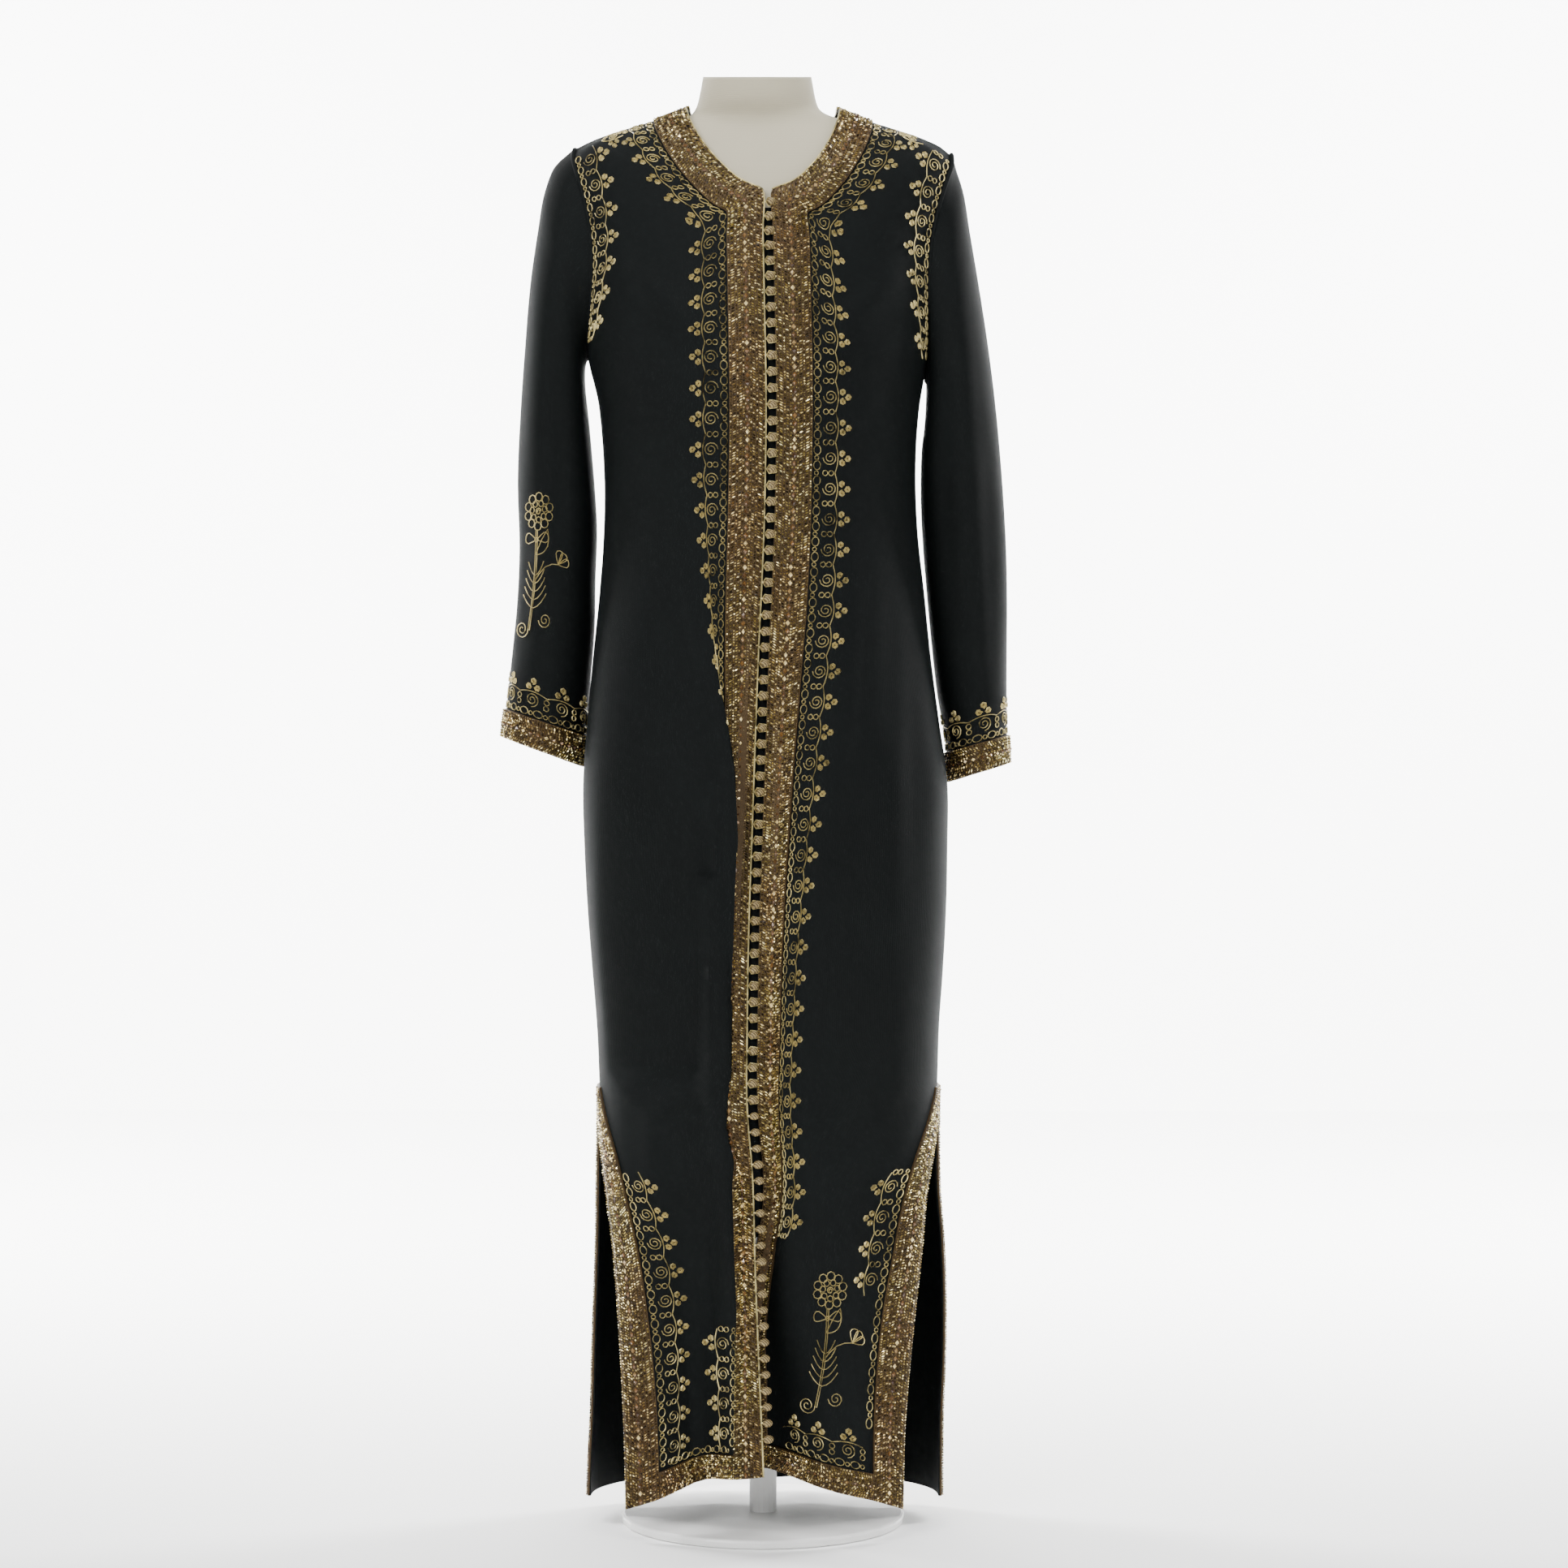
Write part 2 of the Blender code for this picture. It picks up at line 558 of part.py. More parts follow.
def front_grid(side):
    """Rows from hem to shoulder seam, columns from the front edge to the side."""
    sign = SIGN[side]
    grid = []
    for z in ROWS:
        reach = read(SLIT_REACH, SLIT_COLUMNS, side, side_height(z))
        start = angle_of(closure_x(z) + sign * CLOSURE_GAP / 2, z)
        line = []
        for k in range(LINE_STEPS + 1):
            f = k / LINE_STEPS
            angle = start + (sign * (reach - SIDE_CLEAR) - start) * f
            height = z + (side_height(z) - z) * f
            line.append(folded(around(angle, height), side))
        grid.append(pick(line, BRAID_STEPS, BRAID_STEPS, INNER_SHARES))
    edge = [(closure_x(z) + sign * CLOSURE_GAP / 2, z) for z in UPPER_EDGE_ROWS] + neckline(side)
    inner = inner_braid_line([(edge[0][0], ROWS[-1])] + edge, side)[1:]
    for k, phi in enumerate(FRONT_PHI[:-1]):
        arch = ROW_ARCH * max(0.0, k - ROW_ARCH_FROM) / (UPPER_STEPS - 1 - ROW_ARCH_FROM)
        grid.append(upper_front_row(side, edge[k], inner[k], armhole_point(side, phi), arch))
    tip = abs(armhole_point(side, SEAM_PHI).x)
    seam = []
    for m in range(LINE_STEPS + 1):
        x = sign * (NECK_HALF_WIDTH + (tip - NECK_HALF_WIDTH) * m / LINE_STEPS)
        seam.append(Vector((x, SHOULDER_SEAM_Y, height_at(x, SHOULDER_SEAM_Y))))
    share = min(1.0, SHORT_ROW_SHARE * length_of(seam) / BRAID_WIDTH)
    grid.append(pick(seam, BRAID_STEPS, [d * share for d in BRAID_STEPS], INNER_SHARES))
    return grid


# ---- back panel -----------------------------------------------------------------------
def back_top():
    """Top edge of the back: shoulder seam, neckline and shoulder seam."""
    seam_y = SHOULDER_SEAM_Y + BACK_SEAM_GAP
    line = []
    for side, order in (("right", 1), ("left", -1)):
        tip = abs(armhole_point(side, SEAM_PHI).x)
        xs = [tip + (NECK_HALF_WIDTH - tip) * k / BACK_SHOULDER_STEPS
              for k in range(BACK_SHOULDER_STEPS + 1)]
        part = [(SIGN[side] * x, seam_y) for x in xs]
        for k in range(1, BACK_NECK_STEPS + 1):
            a = math.pi / 2 * k / BACK_NECK_STEPS
            across = max(0.0, math.cos(a)) ** BACK_NECK_SHAPE[0]
            back = math.sin(a) ** BACK_NECK_SHAPE[1]
            part.append((SIGN[side] * NECK_HALF_WIDTH * across,
                         seam_y + (BACK_NECK_Y - seam_y) * back))
        line.append(part if order > 0 else part[::-1])
    right, left = line
    right[-1] = (0.0, BACK_NECK_Y)
    return right + left[1:]


def climb(x0, y0, z0, x1, y1):
    """Line over the back from a low point up to a point of the top edge."""
    z1 = height_at(x1, y1)
    turn_y = max(y1, min(BACK_TURN_Y, y0))
    turn_z = height_at(x0 + (x1 - x0) * BACK_TURN_SHARE, turn_y) if turn_y > y1 else z1
    line = [Vector((x0, y0, z0))]
    for k in range(1, CLIMB_STEPS[0] + 1):
        f = k / CLIMB_STEPS[0]
        x, z = x0 + (x1 - x0) * BACK_TURN_SHARE * f, z0 + (turn_z - z0) * f
        line.append(Vector((x, depth_at(x, z, 1.0), z)))
    for k in range(1, CLIMB_STEPS[1] + 1):
        f = k / CLIMB_STEPS[1]
        x = x0 + (x1 - x0) * (BACK_TURN_SHARE + (1 - BACK_TURN_SHARE) * f)
        y = turn_y + (y1 - turn_y) * f
        line.append(Vector((x, y, height_at(x, y))))
    return line


def back_grid():
    top = back_top()
    columns = len(top)
    grid = []
    for z in ROWS:
        rise = max(0.0, BACK_HEM_RISE_ENDS - z) / (BACK_HEM_RISE_ENDS - FRONT_HEM)
        low = z - (FRONT_HEM - BACK_HEM) * (1.0 if z in ROWS[:HEM_ROWS] else rise)
        line = []
        for k in range(LINE_STEPS + 1):
            angle = 90.0 + SIDE_CLEAR + (180.0 - 2 * SIDE_CLEAR) * k / LINE_STEPS
            line.append(folded(around(-angle, low), "back"))
        inner = columns - 2 * len(BRAID_STEPS) + 1
        grid.append(pick(line, BRAID_STEPS, BRAID_STEPS,
                         [k / inner for k in range(1, inner)]))
    upper = len(BACK_PHI) + 1
    for k in range(1, upper + 1):
        grid.append([])
    ends = {}
    for side in ("right", "left"):
        ends[side] = [armhole_point(side, phi, 1.0) for phi in BACK_PHI]
        tip = armhole_point(side, SEAM_PHI)
        ends[side].append(Vector((tip.x, top[0][1], height_at(tip.x, top[0][1]))))
    for c in range(columns):
        start = grid[len(ROWS) - 1][c]
        line = climb(start.x, start.y, start.z, *top[c])
        total = length_of(line)
        braid = [total - BRAID_WIDTH, total - BRAID_WIDTH / 2, total]
        steps = [braid[0] * k / (upper - 2) for k in range(1, upper - 2)] + braid
        for k in range(upper):
            if c == 0:
                grid[len(ROWS) + k].append(ends["right"][k])
            elif c == columns - 1:
                grid[len(ROWS) + k].append(ends["left"][k])
            else:
                grid[len(ROWS) + k].append(at_distance(line, steps[k]))
    for row in grid[len(ROWS):-1]:
        for c in (1, 2, 3):
            for near, far, here in ((0, 4, c), (columns - 1, columns - 5, columns - 1 - c)):
                p = row[near].lerp(row[far], c / 4)
                if p.y > SHOULDER_TOP_Y or p.z < SHOULDER_TOP_Z:
                    p.y = depth_at(p.x, p.z, 1.0)
                else:
                    p.z = height_at(p.x, p.y)
                row[here] = p
    return grid


# ---- sleeves --------------------------------------------------------------------------
def sleeve_grid(side):
    sign = SIGN[side]
    rings = []
    first = []
    turns = sorted(FRONT_PHI) + [180.0] + [360.0 - phi for phi in BACK_PHI]
    for phi in turns:
        face = -1.0 if phi <= 180.0 else 1.0
        p = armhole_point(side, phi, face)
        low = max(0.0, -math.cos(math.radians(phi))) ** 3
        p.x += sign * (armhole(side)["set_off"] + SLEEVE_SET_LOW * low)
        p.z += SLEEVE_RISE_LOW * low
        first.append(p)
    rings.append(first)
    rows = SLEEVES[side]
    for index, values in enumerate(rows):
        row = dict(zip(SLEEVE_COLUMNS, values))
        out = Vector((sign * row["x_out"], row["y"], row["z_out"]))
        inn = Vector((sign * row["x_in"], row["y"], row["z_in"]))
        fade = max(0.0, 1.0 - (index + 1) / ARMHOLE_BOW_RINGS)
        bow = ARMHOLE_BOW * fade ** ARMHOLE_BOW_FADE
        ring = []
        for phi in turns:
            a = math.radians(phi)
            p = (out + inn) / 2 + (out - inn) / 2 * math.cos(a)
            p.y -= row["half_depth"] * math.sin(a)
            p.x -= sign * bow * math.sin(a) ** 2
            ring.append(p)
        rings.append(ring)
    return rings


def outward_from(rings):
    """Directions away from the nearest ring's centre, for face_out."""
    centres = [sum(ring, Vector()) / len(ring) for ring in rings]

    def outward(centre):
        nearest = min(centres, key=lambda c: (c - centre).length)
        return centre - nearest
    return outward


# ---- buttons --------------------------------------------------------------------------
def button_row(edge, normals, finish):
    """Knots on a cord: one turned strand beside the right front's edge."""
    line = [p + n * (WALL + LAY_GAP + BRAID_THICK * BUTTON_SEAT) + Vector((CLOSURE_GAP / 2, 0, 0))
            for p, n in zip(edge, normals)]
    usable = length_of(line) - BUTTON_TOP_DROP - BUTTON_BOTTOM_RISE
    count = int(usable / BUTTON_PITCH)
    marks = [(BUTTON_BOTTOM_RISE + (k + 0.5 + place) * BUTTON_PITCH, radius)
             for k in range(count) for place, radius in BUTTON_PROFILE]
    marks.append((BUTTON_BOTTOM_RISE + count * BUTTON_PITCH, BUTTON_NECK))
    rings = []
    for distance, radius in marks:
        centre = at_distance(line, distance)
        ahead = at_distance(line, distance + BUTTON_RADIUS) - at_distance(
            line, distance - BUTTON_RADIUS)
        ahead.normalize()
        up = ahead.cross(Vector((1.0, 0.0, 0.0))).normalized()
        sidewise = up.cross(ahead).normalized()
        turns = [2.0 * math.pi * s / BUTTON_SIDES for s in range(BUTTON_SIDES)]
        rings.append([centre + (sidewise * math.cos(a) + up * math.sin(a)) * radius
                      for a in turns])
    faces = sheet_faces(len(rings), BUTTON_SIDES, ring=True)
    faces.append(tuple(reversed(range(BUTTON_SIDES))))
    faces.append(tuple(range((len(rings) - 1) * BUTTON_SIDES, len(rings) * BUTTON_SIDES)))
    made = add_mesh("button_row", [p for ring in rings for p in ring], faces, finish)
    face_out(made, outward_from(rings))
    return made


# ---- the dress form and its stand -------------------------------------------------------
def form_section(z, centre_x, right, left, front, back):
    ring = []
    for k in range(FORM_SIDES):
        a = 2.0 * math.pi * k / FORM_SIDES
        s, c = math.sin(a), math.cos(a)
        wide = left if s > 0 else right
        deep = front if c > 0 else back
        ring.append(Vector((
            centre_x + math.copysign(abs(s) ** (2 / SQUARENESS), s) * wide,
            -math.copysign(abs(c) ** (2 / SQUARENESS), c) * deep, z)))
    return ring


def add_form(finish):
    rings = []
    for z in FORM_HEIGHTS:
        slack = {n: read(SLACK, SLACK_COLUMNS, n, z) for n in SLACK_COLUMNS[1:]}
        rings.append(form_section(
            z, 0.0, body("right", z) - slack["width"], body("left", z) - slack["width"],
            body("front", z) - slack["front"], body("back", z) - slack["back"]))
    for row in NECK:
        level = dict(zip(NECK_COLUMNS, row))
        rings.append(form_section(level["z"], NECK_CENTRE_X if level["z"] > NECK_SHIFT_Z else 0.0,
                                  level["half_width"], level["half_width"],
                                  level["front"], level["back"]))
    points = [p for ring in rings for p in ring]
    faces = sheet_faces(len(rings), FORM_SIDES, ring=True)
    faces.append(tuple(reversed(range(FORM_SIDES))))
    top = (len(rings) - 1) * FORM_SIDES
    faces.append(tuple(range(top, top + FORM_SIDES)))
    made = add_mesh("form_torso", points, faces, finish)
    face_out(made, body_outward)
    return made


def turned(name, radius, low, high, sides, finish, edge=0.0):
    """An upright cylinder, its upper rim rounded where edge is given."""
    bpy.ops.mesh.primitive_cylinder_add(vertices=sides, radius=radius, depth=high - low,
                                        location=(0.0, 0.0, (high + low) / 2))
    made = bpy.context.object
    made.name = name
    made.data.name = name
    made.data.materials.append(finish)
    for collection in list(made.users_collection):
        collection.objects.unlink(made)
    GARMENT.objects.link(made)
    if edge:
        bevel = made.modifiers.new("rim", "BEVEL")
        bevel.width = edge
        bevel.segments = 2
        bevel.limit_method = "ANGLE"
    made.data.shade_smooth()
    made.data.set_sharp_from_angle(angle=math.radians(50))
    return made


# ---- putting it together ----------------------------------------------------------------
for old in list(bpy.data.objects):
    bpy.data.objects.remove(old, do_unlink=True)
GARMENT = new_collection("kaftan_on_form")

KNIT = material("black_knit", KNIT_BLACK, 0.75)
BRAID = material("gold_braid", GOLD, 0.38, 0.8)
KNOT = material("gold_knot", GOLD, 0.42, 0.7)
FORM_CLOTH = material("form_cover", CREAM, 0.8)
STAND = material("stand_paint", WHITE_PAINT, 0.35)

turned("stand_base", BASE_RADIUS, 0.0, BASE_THICK, BASE_SIDES, STAND, BASE_EDGE)
turned("stand_pole", POLE_RADIUS, BASE_THICK + SOCKET_GAP, FORM_BOTTOM - SOCKET_GAP,
       POLE_SIDES, STAND)
add_form(FORM_CLOTH)

EDGE_COLUMNS = len(BRAID_STEPS)
SLIT_ROWS = range(ROWS.index(SLIT_TOP) + 1)
for SIDE in ("right", "left"):
    GRID = front_grid(SIDE)
    PANEL = sheet("front_" + SIDE, GRID, KNIT)
    trim_on("braid_front_" + SIDE, PANEL, FRONT_COLUMNS, range(len(GRID)),
            range(EDGE_COLUMNS), "columns", BRAID)
    trim_on("braid_hem_front_" + SIDE, PANEL, FRONT_COLUMNS, range(HEM_ROWS),
            range(EDGE_COLUMNS - 1, FRONT_COLUMNS - EDGE_COLUMNS + 1), "rows", BRAID,
            BRAID_CORNER_GAP)
    trim_on("braid_slit_front_" + SIDE, PANEL, FRONT_COLUMNS, SLIT_ROWS,
            range(FRONT_COLUMNS - EDGE_COLUMNS, FRONT_COLUMNS), "columns", BRAID)
    if SIDE == "right":
        CORNER = len(ROWS) + len(UPPER_EDGE_ROWS) + 1
        EDGE = [GRID[r][0] for r in range(CORNER)]
        NORMALS = [PANEL.data.vertices[r * FRONT_COLUMNS].normal.copy() for r in range(CORNER)]
        button_row(EDGE, NORMALS, KNOT)

BACK = back_grid()
BACK_COLUMNS = len(BACK[0])
BACK_PANEL = sheet("back", BACK, KNIT)
BACK_INNER = BACK_COLUMNS - EDGE_COLUMNS
trim_on("braid_slit_back_right", BACK_PANEL, BACK_COLUMNS, SLIT_ROWS, range(EDGE_COLUMNS),
        "columns", BRAID)
trim_on("braid_slit_back_left", BACK_PANEL, BACK_COLUMNS, SLIT_ROWS,
        range(BACK_INNER, BACK_COLUMNS), "columns", BRAID)
trim_on("braid_hem_back", BACK_PANEL, BACK_COLUMNS, range(HEM_ROWS),
        range(EDGE_COLUMNS - 1, BACK_INNER + 1), "rows", BRAID, BRAID_CORNER_GAP)
trim_on("braid_neck_back", BACK_PANEL, BACK_COLUMNS, range(len(BACK) - 3, len(BACK)),
        range(EDGE_COLUMNS, BACK_INNER), "rows", BRAID)

for SIDE in ("right", "left"):
    RINGS = sleeve_grid(SIDE)
    SLEEVE = sheet("sleeve_" + SIDE, RINGS, KNIT, outward_from(RINGS), ring=True)
    trim_on("braid_cuff_" + SIDE, SLEEVE, SLEEVE_SIDES, range(len(RINGS) - 3, len(RINGS)),
            range(SLEEVE_SIDES), "ring", BRAID)
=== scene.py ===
"""Black knit kaftan with couched gold cord and beaded braid, on a limbless dress form.

Metres, +Z up, the wearer faces -Y. "Right" and "left" are the wearer's.
"""
import math
import random

import bmesh
import bpy
import numpy as np
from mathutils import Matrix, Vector


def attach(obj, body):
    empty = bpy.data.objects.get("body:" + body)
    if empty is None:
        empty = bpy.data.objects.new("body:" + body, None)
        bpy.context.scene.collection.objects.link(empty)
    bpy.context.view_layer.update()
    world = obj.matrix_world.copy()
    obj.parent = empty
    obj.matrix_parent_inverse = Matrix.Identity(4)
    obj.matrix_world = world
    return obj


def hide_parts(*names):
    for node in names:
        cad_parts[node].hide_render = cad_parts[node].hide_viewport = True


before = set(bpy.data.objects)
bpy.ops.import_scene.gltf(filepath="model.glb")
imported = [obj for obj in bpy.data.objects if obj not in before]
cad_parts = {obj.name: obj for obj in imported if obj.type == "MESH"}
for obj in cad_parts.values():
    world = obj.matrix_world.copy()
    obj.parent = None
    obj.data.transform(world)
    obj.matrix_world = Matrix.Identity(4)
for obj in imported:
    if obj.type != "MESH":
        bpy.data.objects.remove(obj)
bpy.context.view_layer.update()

bpy.ops.object.select_all(action="DESELECT")

# ---- the stand ---------------------------------------------------------------------------
# A round steel base plate and an upright tube, painted white. The paint is
# satin, a little worn and dulled where the stand is handled.


class Wire:
    """A node's output that adds Math nodes when it is used in an expression."""

    def __init__(self, finish, socket):
        self.finish, self.socket = finish, socket

    def _with(self, operation, first, second):
        return self.finish.node("ShaderNodeMath", {"operation": operation}, {0: first, 1: second})

    def __add__(self, other):
        return self._with("ADD", self, other)

    def __sub__(self, other):
        return self._with("SUBTRACT", self, other)

    def __mul__(self, other):
        return self._with("MULTIPLY", self, other)


class Finish:
    """A material: constants sit on the shader's sockets, patterns come from nodes."""

    def __init__(self, name, **constants):
        self.material = bpy.data.materials.new(name)
        self.material.use_nodes = True
        self.tree = self.material.node_tree
        self.shader = self.tree.nodes["Principled BSDF"]
        for word, value in constants.items():
            self.shader.inputs[word.replace("_", " ")].default_value = value

    def node(self, kind, settings=None, inputs=None, out=0):
        made = self.tree.nodes.new(kind)
        for word, value in (settings or {}).items():
            if word == "stops":
                ramp = made.color_ramp
                while len(ramp.elements) < len(value):
                    ramp.elements.new(0.5)
                for element, (place, colour) in zip(ramp.elements, value):
                    element.position, element.color = place, (*colour, 1.0)
            else:
                setattr(made, word, value)
        for key, value in (inputs or {}).items():
            self.feed(made.inputs[key], value)
        return Wire(self, made.outputs[out])

    def feed(self, socket, value):
        if isinstance(value, Wire):
            self.tree.links.new(value.socket, socket)
        else:
            socket.default_value = value

    def place(self, kind="Object"):
        return self.node("ShaderNodeTexCoord", out=kind)

    def noise(self, scale, detail=2.0, where=None):
        return self.node("ShaderNodeTexNoise", {}, {
            "Vector": where or self.place(), "Scale": scale, "Detail": detail})

    def blend(self, factor, first, second):
        return self.node("ShaderNodeMix", {"data_type": "RGBA"}, {
            0: factor, 6: (*first, 1.0) if isinstance(first, tuple) else first,
            7: (*second, 1.0) if isinstance(second, tuple) else second}, out=2)

    def paint(self, socket, value):
        self.feed(self.shader.inputs[socket], value)

    def relief(self, height, distance, strength=1.0):
        self.paint("Normal", self.node("ShaderNodeBump", {}, {
            "Height": height, "Distance": distance, "Strength": strength}))


def added(name, data):
    """A new object in the scene."""
    made = bpy.data.objects.new(name, data)
    bpy.context.scene.collection.objects.link(made)
    return made


def with_modifier(made, kind, **settings):
    """Apply a modifier to an object's mesh."""
    change = made.modifiers.new(kind.lower(), kind)
    for word, value in settings.items():
        setattr(change, word, value)
    bpy.context.view_layer.objects.active = made
    bpy.ops.object.modifier_apply(modifier=change.name)


STAND_PAINT = Finish("stand_paint_white", Metallic=0.0, Coat_Weight=0.15)
WEAR = STAND_PAINT.noise(38.0, 4.0)
STAND_PAINT.paint("Base Color", STAND_PAINT.blend(WEAR, (0.74, 0.73, 0.71), (0.86, 0.86, 0.84)))
STAND_PAINT.paint("Roughness", WEAR * 0.22 + 0.30)
STAND_PAINT.relief(STAND_PAINT.noise(420.0), 0.0002, 0.35)
for NODE in ("stand_base", "stand_pole"):
    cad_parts[NODE].data.materials.clear()
    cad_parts[NODE].data.materials.append(STAND_PAINT.material)

# ---- the form ----------------------------------------------------------------------------
# A padded torso with neck, covered in close cream jersey, stretched smooth and a little
# soiled. Its rim is cut crisp and stands a little higher at the back.
WELD = 0.00001              # corners nearer than this are one point
FLAT_ENOUGH, SQUARE_ENOUGH = 0.6, 1.2       # radians, where two triangles become a quad
RIM_RISE = 0.20             # rise of the rim for each metre towards the back
RIM_DEEP = 0.030            # the rise fades over this depth below the rim
RIM_BAND = 0.0005           # points this near the top belong to the rim
FORM_COVER = Finish("form_cover_cream", Roughness=0.86, Sheen_Weight=0.25, Sheen_Roughness=0.4)
SOIL = FORM_COVER.noise(7.0, 3.0)
FORM_COVER.paint("Base Color", FORM_COVER.blend(SOIL, (0.400, 0.362, 0.262), (0.490, 0.448, 0.332)))
GRAIN = FORM_COVER.noise(1400.0, 1.0)
RIB = FORM_COVER.node("ShaderNodeTexWave", {"bands_direction": "Z"}, {
    "Vector": FORM_COVER.place(), "Scale": 160.0, "Distortion": 1.2})
FORM_COVER.relief(GRAIN * 0.6 + RIB * 0.4, 0.0003, 0.5)

FORM = added("form_padded_torso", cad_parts["form_torso"].data.copy())
SHAPE = bmesh.new()
SHAPE.from_mesh(FORM.data)
bmesh.ops.remove_doubles(SHAPE, verts=SHAPE.verts, dist=WELD)
bmesh.ops.join_triangles(SHAPE, faces=SHAPE.faces, angle_face_threshold=FLAT_ENOUGH,
                         angle_shape_threshold=SQUARE_ENOUGH)
CREASE = SHAPE.edges.layers.float.new("crease_edge")
RIM_Z = max(v.co.z for v in SHAPE.verts) - RIM_BAND
for EDGE in SHAPE.edges:
    if all(v.co.z > RIM_Z for v in EDGE.verts):
        EDGE[CREASE] = 1.0
FRONT_Y = min(v.co.y for v in SHAPE.verts if v.co.z > RIM_Z)
for VERT in SHAPE.verts:
    VERT.co.z += RIM_RISE * (VERT.co.y - FRONT_Y) * max(0.0, (VERT.co.z - RIM_Z) / RIM_DEEP + 1.0)
SHAPE.to_mesh(FORM.data)
SHAPE.free()
with_modifier(FORM, "SUBSURF", levels=2, render_levels=2)
FORM.select_set(True)
bpy.ops.object.shade_smooth_by_angle(angle=math.radians(60))
FORM.select_set(False)
FORM.data.materials.clear()
FORM.data.materials.append(FORM_COVER.material)
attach(FORM, "root")
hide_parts("form_torso")

# ---- the body panels ---------------------------------------------------------------------
# Two fronts and a back in fine black knit, 1.5 mm with its backing. They hang from the
# shoulders in soft uneven troughs, the front edges meet on the buttons, the sides are slit.
WALL = 0.0015               # cloth, with its backing
BRAID_WIDTH = 0.036         # front edges, neck and slits
HEM_BRAID = 0.024
CUFF_BRAID = 0.029
BRAID_STEPS = tuple(BRAID_WIDTH * k / 3 for k in range(4))
SHORT_ROW_SHARE = 0.34      # the side band takes no more than this of a short row
SQUARENESS = 2.3            # exponent of the body's sections, 2 is an ellipse
SLIT_TOP = 0.447
SHOULDER_SEAM_Y = -0.010    # the seam lies just in front of the shoulder's ridge
RIDGE_LOW = 1.384           # the body is widest here and only narrows above
RIDGE_HIGH = 1.459
CLOSURE_GAP = 0.010         # between the two front edges, bridged by the buttons
NECK_CORNER_Z = 1.348       # where the neckline meets the front edges
NECK_HALF_WIDTH = 0.078
NECK_ROUNDNESS = {"right": 1.45, "left": 1.62}     # exponent of its curve, 1 is a straight V
NECK_ROW_SPREAD = 0.85      # under 1 draws its rows towards the shoulder
NECK_BRAID_END_Y = -0.016   # where the front neck braid's inner line ends at the shoulder
BACK_NECK_Y = 0.052
BACK_NECK_SHAPE = (0.8, 0.9)    # exponents of the back neckline's curve, across and back
BACK_NECK_STEPS = 3         # columns from its corner to the middle
BACK_SHOULDER_STEPS = 4     # columns along a shoulder seam
ARMHOLE_HALF_DEPTH = 0.050
SIDE_CLEAR = 0.05           # degrees between front and back panels at the side seam
BACK_SEAM_GAP = 0.0007      # between front and back panels at the shoulder seam
LINE_STEPS = 80             # samples along a line on the surface
HALVINGS = 40               # steps of the search for a height
CLIMB_STEPS = (30, 20)      # samples of a back column, below and above its turn
FOLD_SIDE = 0.45            # folds die out below this share of the body's depth
BODY_COLUMNS = ("z", "right", "left", "front", "back")
BODY = (
    (0.010, 0.177, 0.180, 0.133, 0.120),
    (0.120, 0.173, 0.181, 0.135, 0.122),
    (0.200, 0.171, 0.184, 0.136, 0.124),
    (0.280, 0.168, 0.182, 0.137, 0.125),
    (0.360, 0.167, 0.177, 0.138, 0.126),
    (0.447, 0.166, 0.177, 0.140, 0.127),
    (0.527, 0.170, 0.180, 0.142, 0.128),
    (0.594, 0.176, 0.185, 0.143, 0.129),
    (0.660, 0.180, 0.187, 0.144, 0.130),
    (0.740, 0.183, 0.188, 0.145, 0.130),
    (0.860, 0.175, 0.173, 0.142, 0.126),
    (0.940, 0.167, 0.165, 0.137, 0.118),
    (1.000, 0.162, 0.158, 0.133, 0.111),
    (1.060, 0.161, 0.155, 0.131, 0.108),
    (1.110, 0.1635, 0.156, 0.134, 0.109),
    (1.150, 0.168, 0.160, 0.137, 0.111),
    (1.193, 0.178, 0.168, 0.136, 0.112),
    (1.240, 0.179, 0.173, 0.129, 0.110),
    (1.290, 0.182, 0.178, 0.117, 0.105),
    (1.330, 0.190, 0.186, 0.104, 0.097),
    (1.360, 0.1965, 0.193, 0.091, 0.088),
    (1.384, 0.2005, 0.196, 0.077, 0.077),
    (1.400, 0.196, 0.190, 0.064, 0.067),
    (1.412, 0.176, 0.170, 0.054, 0.058),
    (1.424, 0.142, 0.136, 0.044, 0.048),
    (1.436, 0.104, 0.100, 0.032, 0.035),
    (1.448, 0.080, 0.078, 0.016, 0.018),
    (1.460, 0.050, 0.050, 0.004, 0.004),
)
CLOSURE_COLUMNS = ("z", "x")
CLOSURE = (
    (0.060, 0.0070), (0.093, 0.0062), (0.166, 0.0030), (0.286, -0.0018),
    (0.366, -0.0042), (0.447, -0.0100), (0.567, -0.0090), (0.728, -0.0042),
    (0.888, 0.0014), (1.017, 0.0070), (1.129, 0.0087), (1.260, 0.0065), (1.360, 0.0046),
)
SLIT_COLUMNS = ("z", "right", "left")
SLIT_REACH = (
    (0.000, 47.0, 48.0), (0.120, 50.0, 49.0), (0.200, 53.5, 51.5), (0.290, 60.0, 58.5),
    (0.350, 67.5, 66.0), (0.390, 75.0, 74.0), (0.420, 83.0, 82.5), (0.447, 90.0, 90.0),
)
FOLD_COLUMNS = ("panel", "x_top", "x_bottom", "z_top", "z_bottom", "depth", "width", "peak")
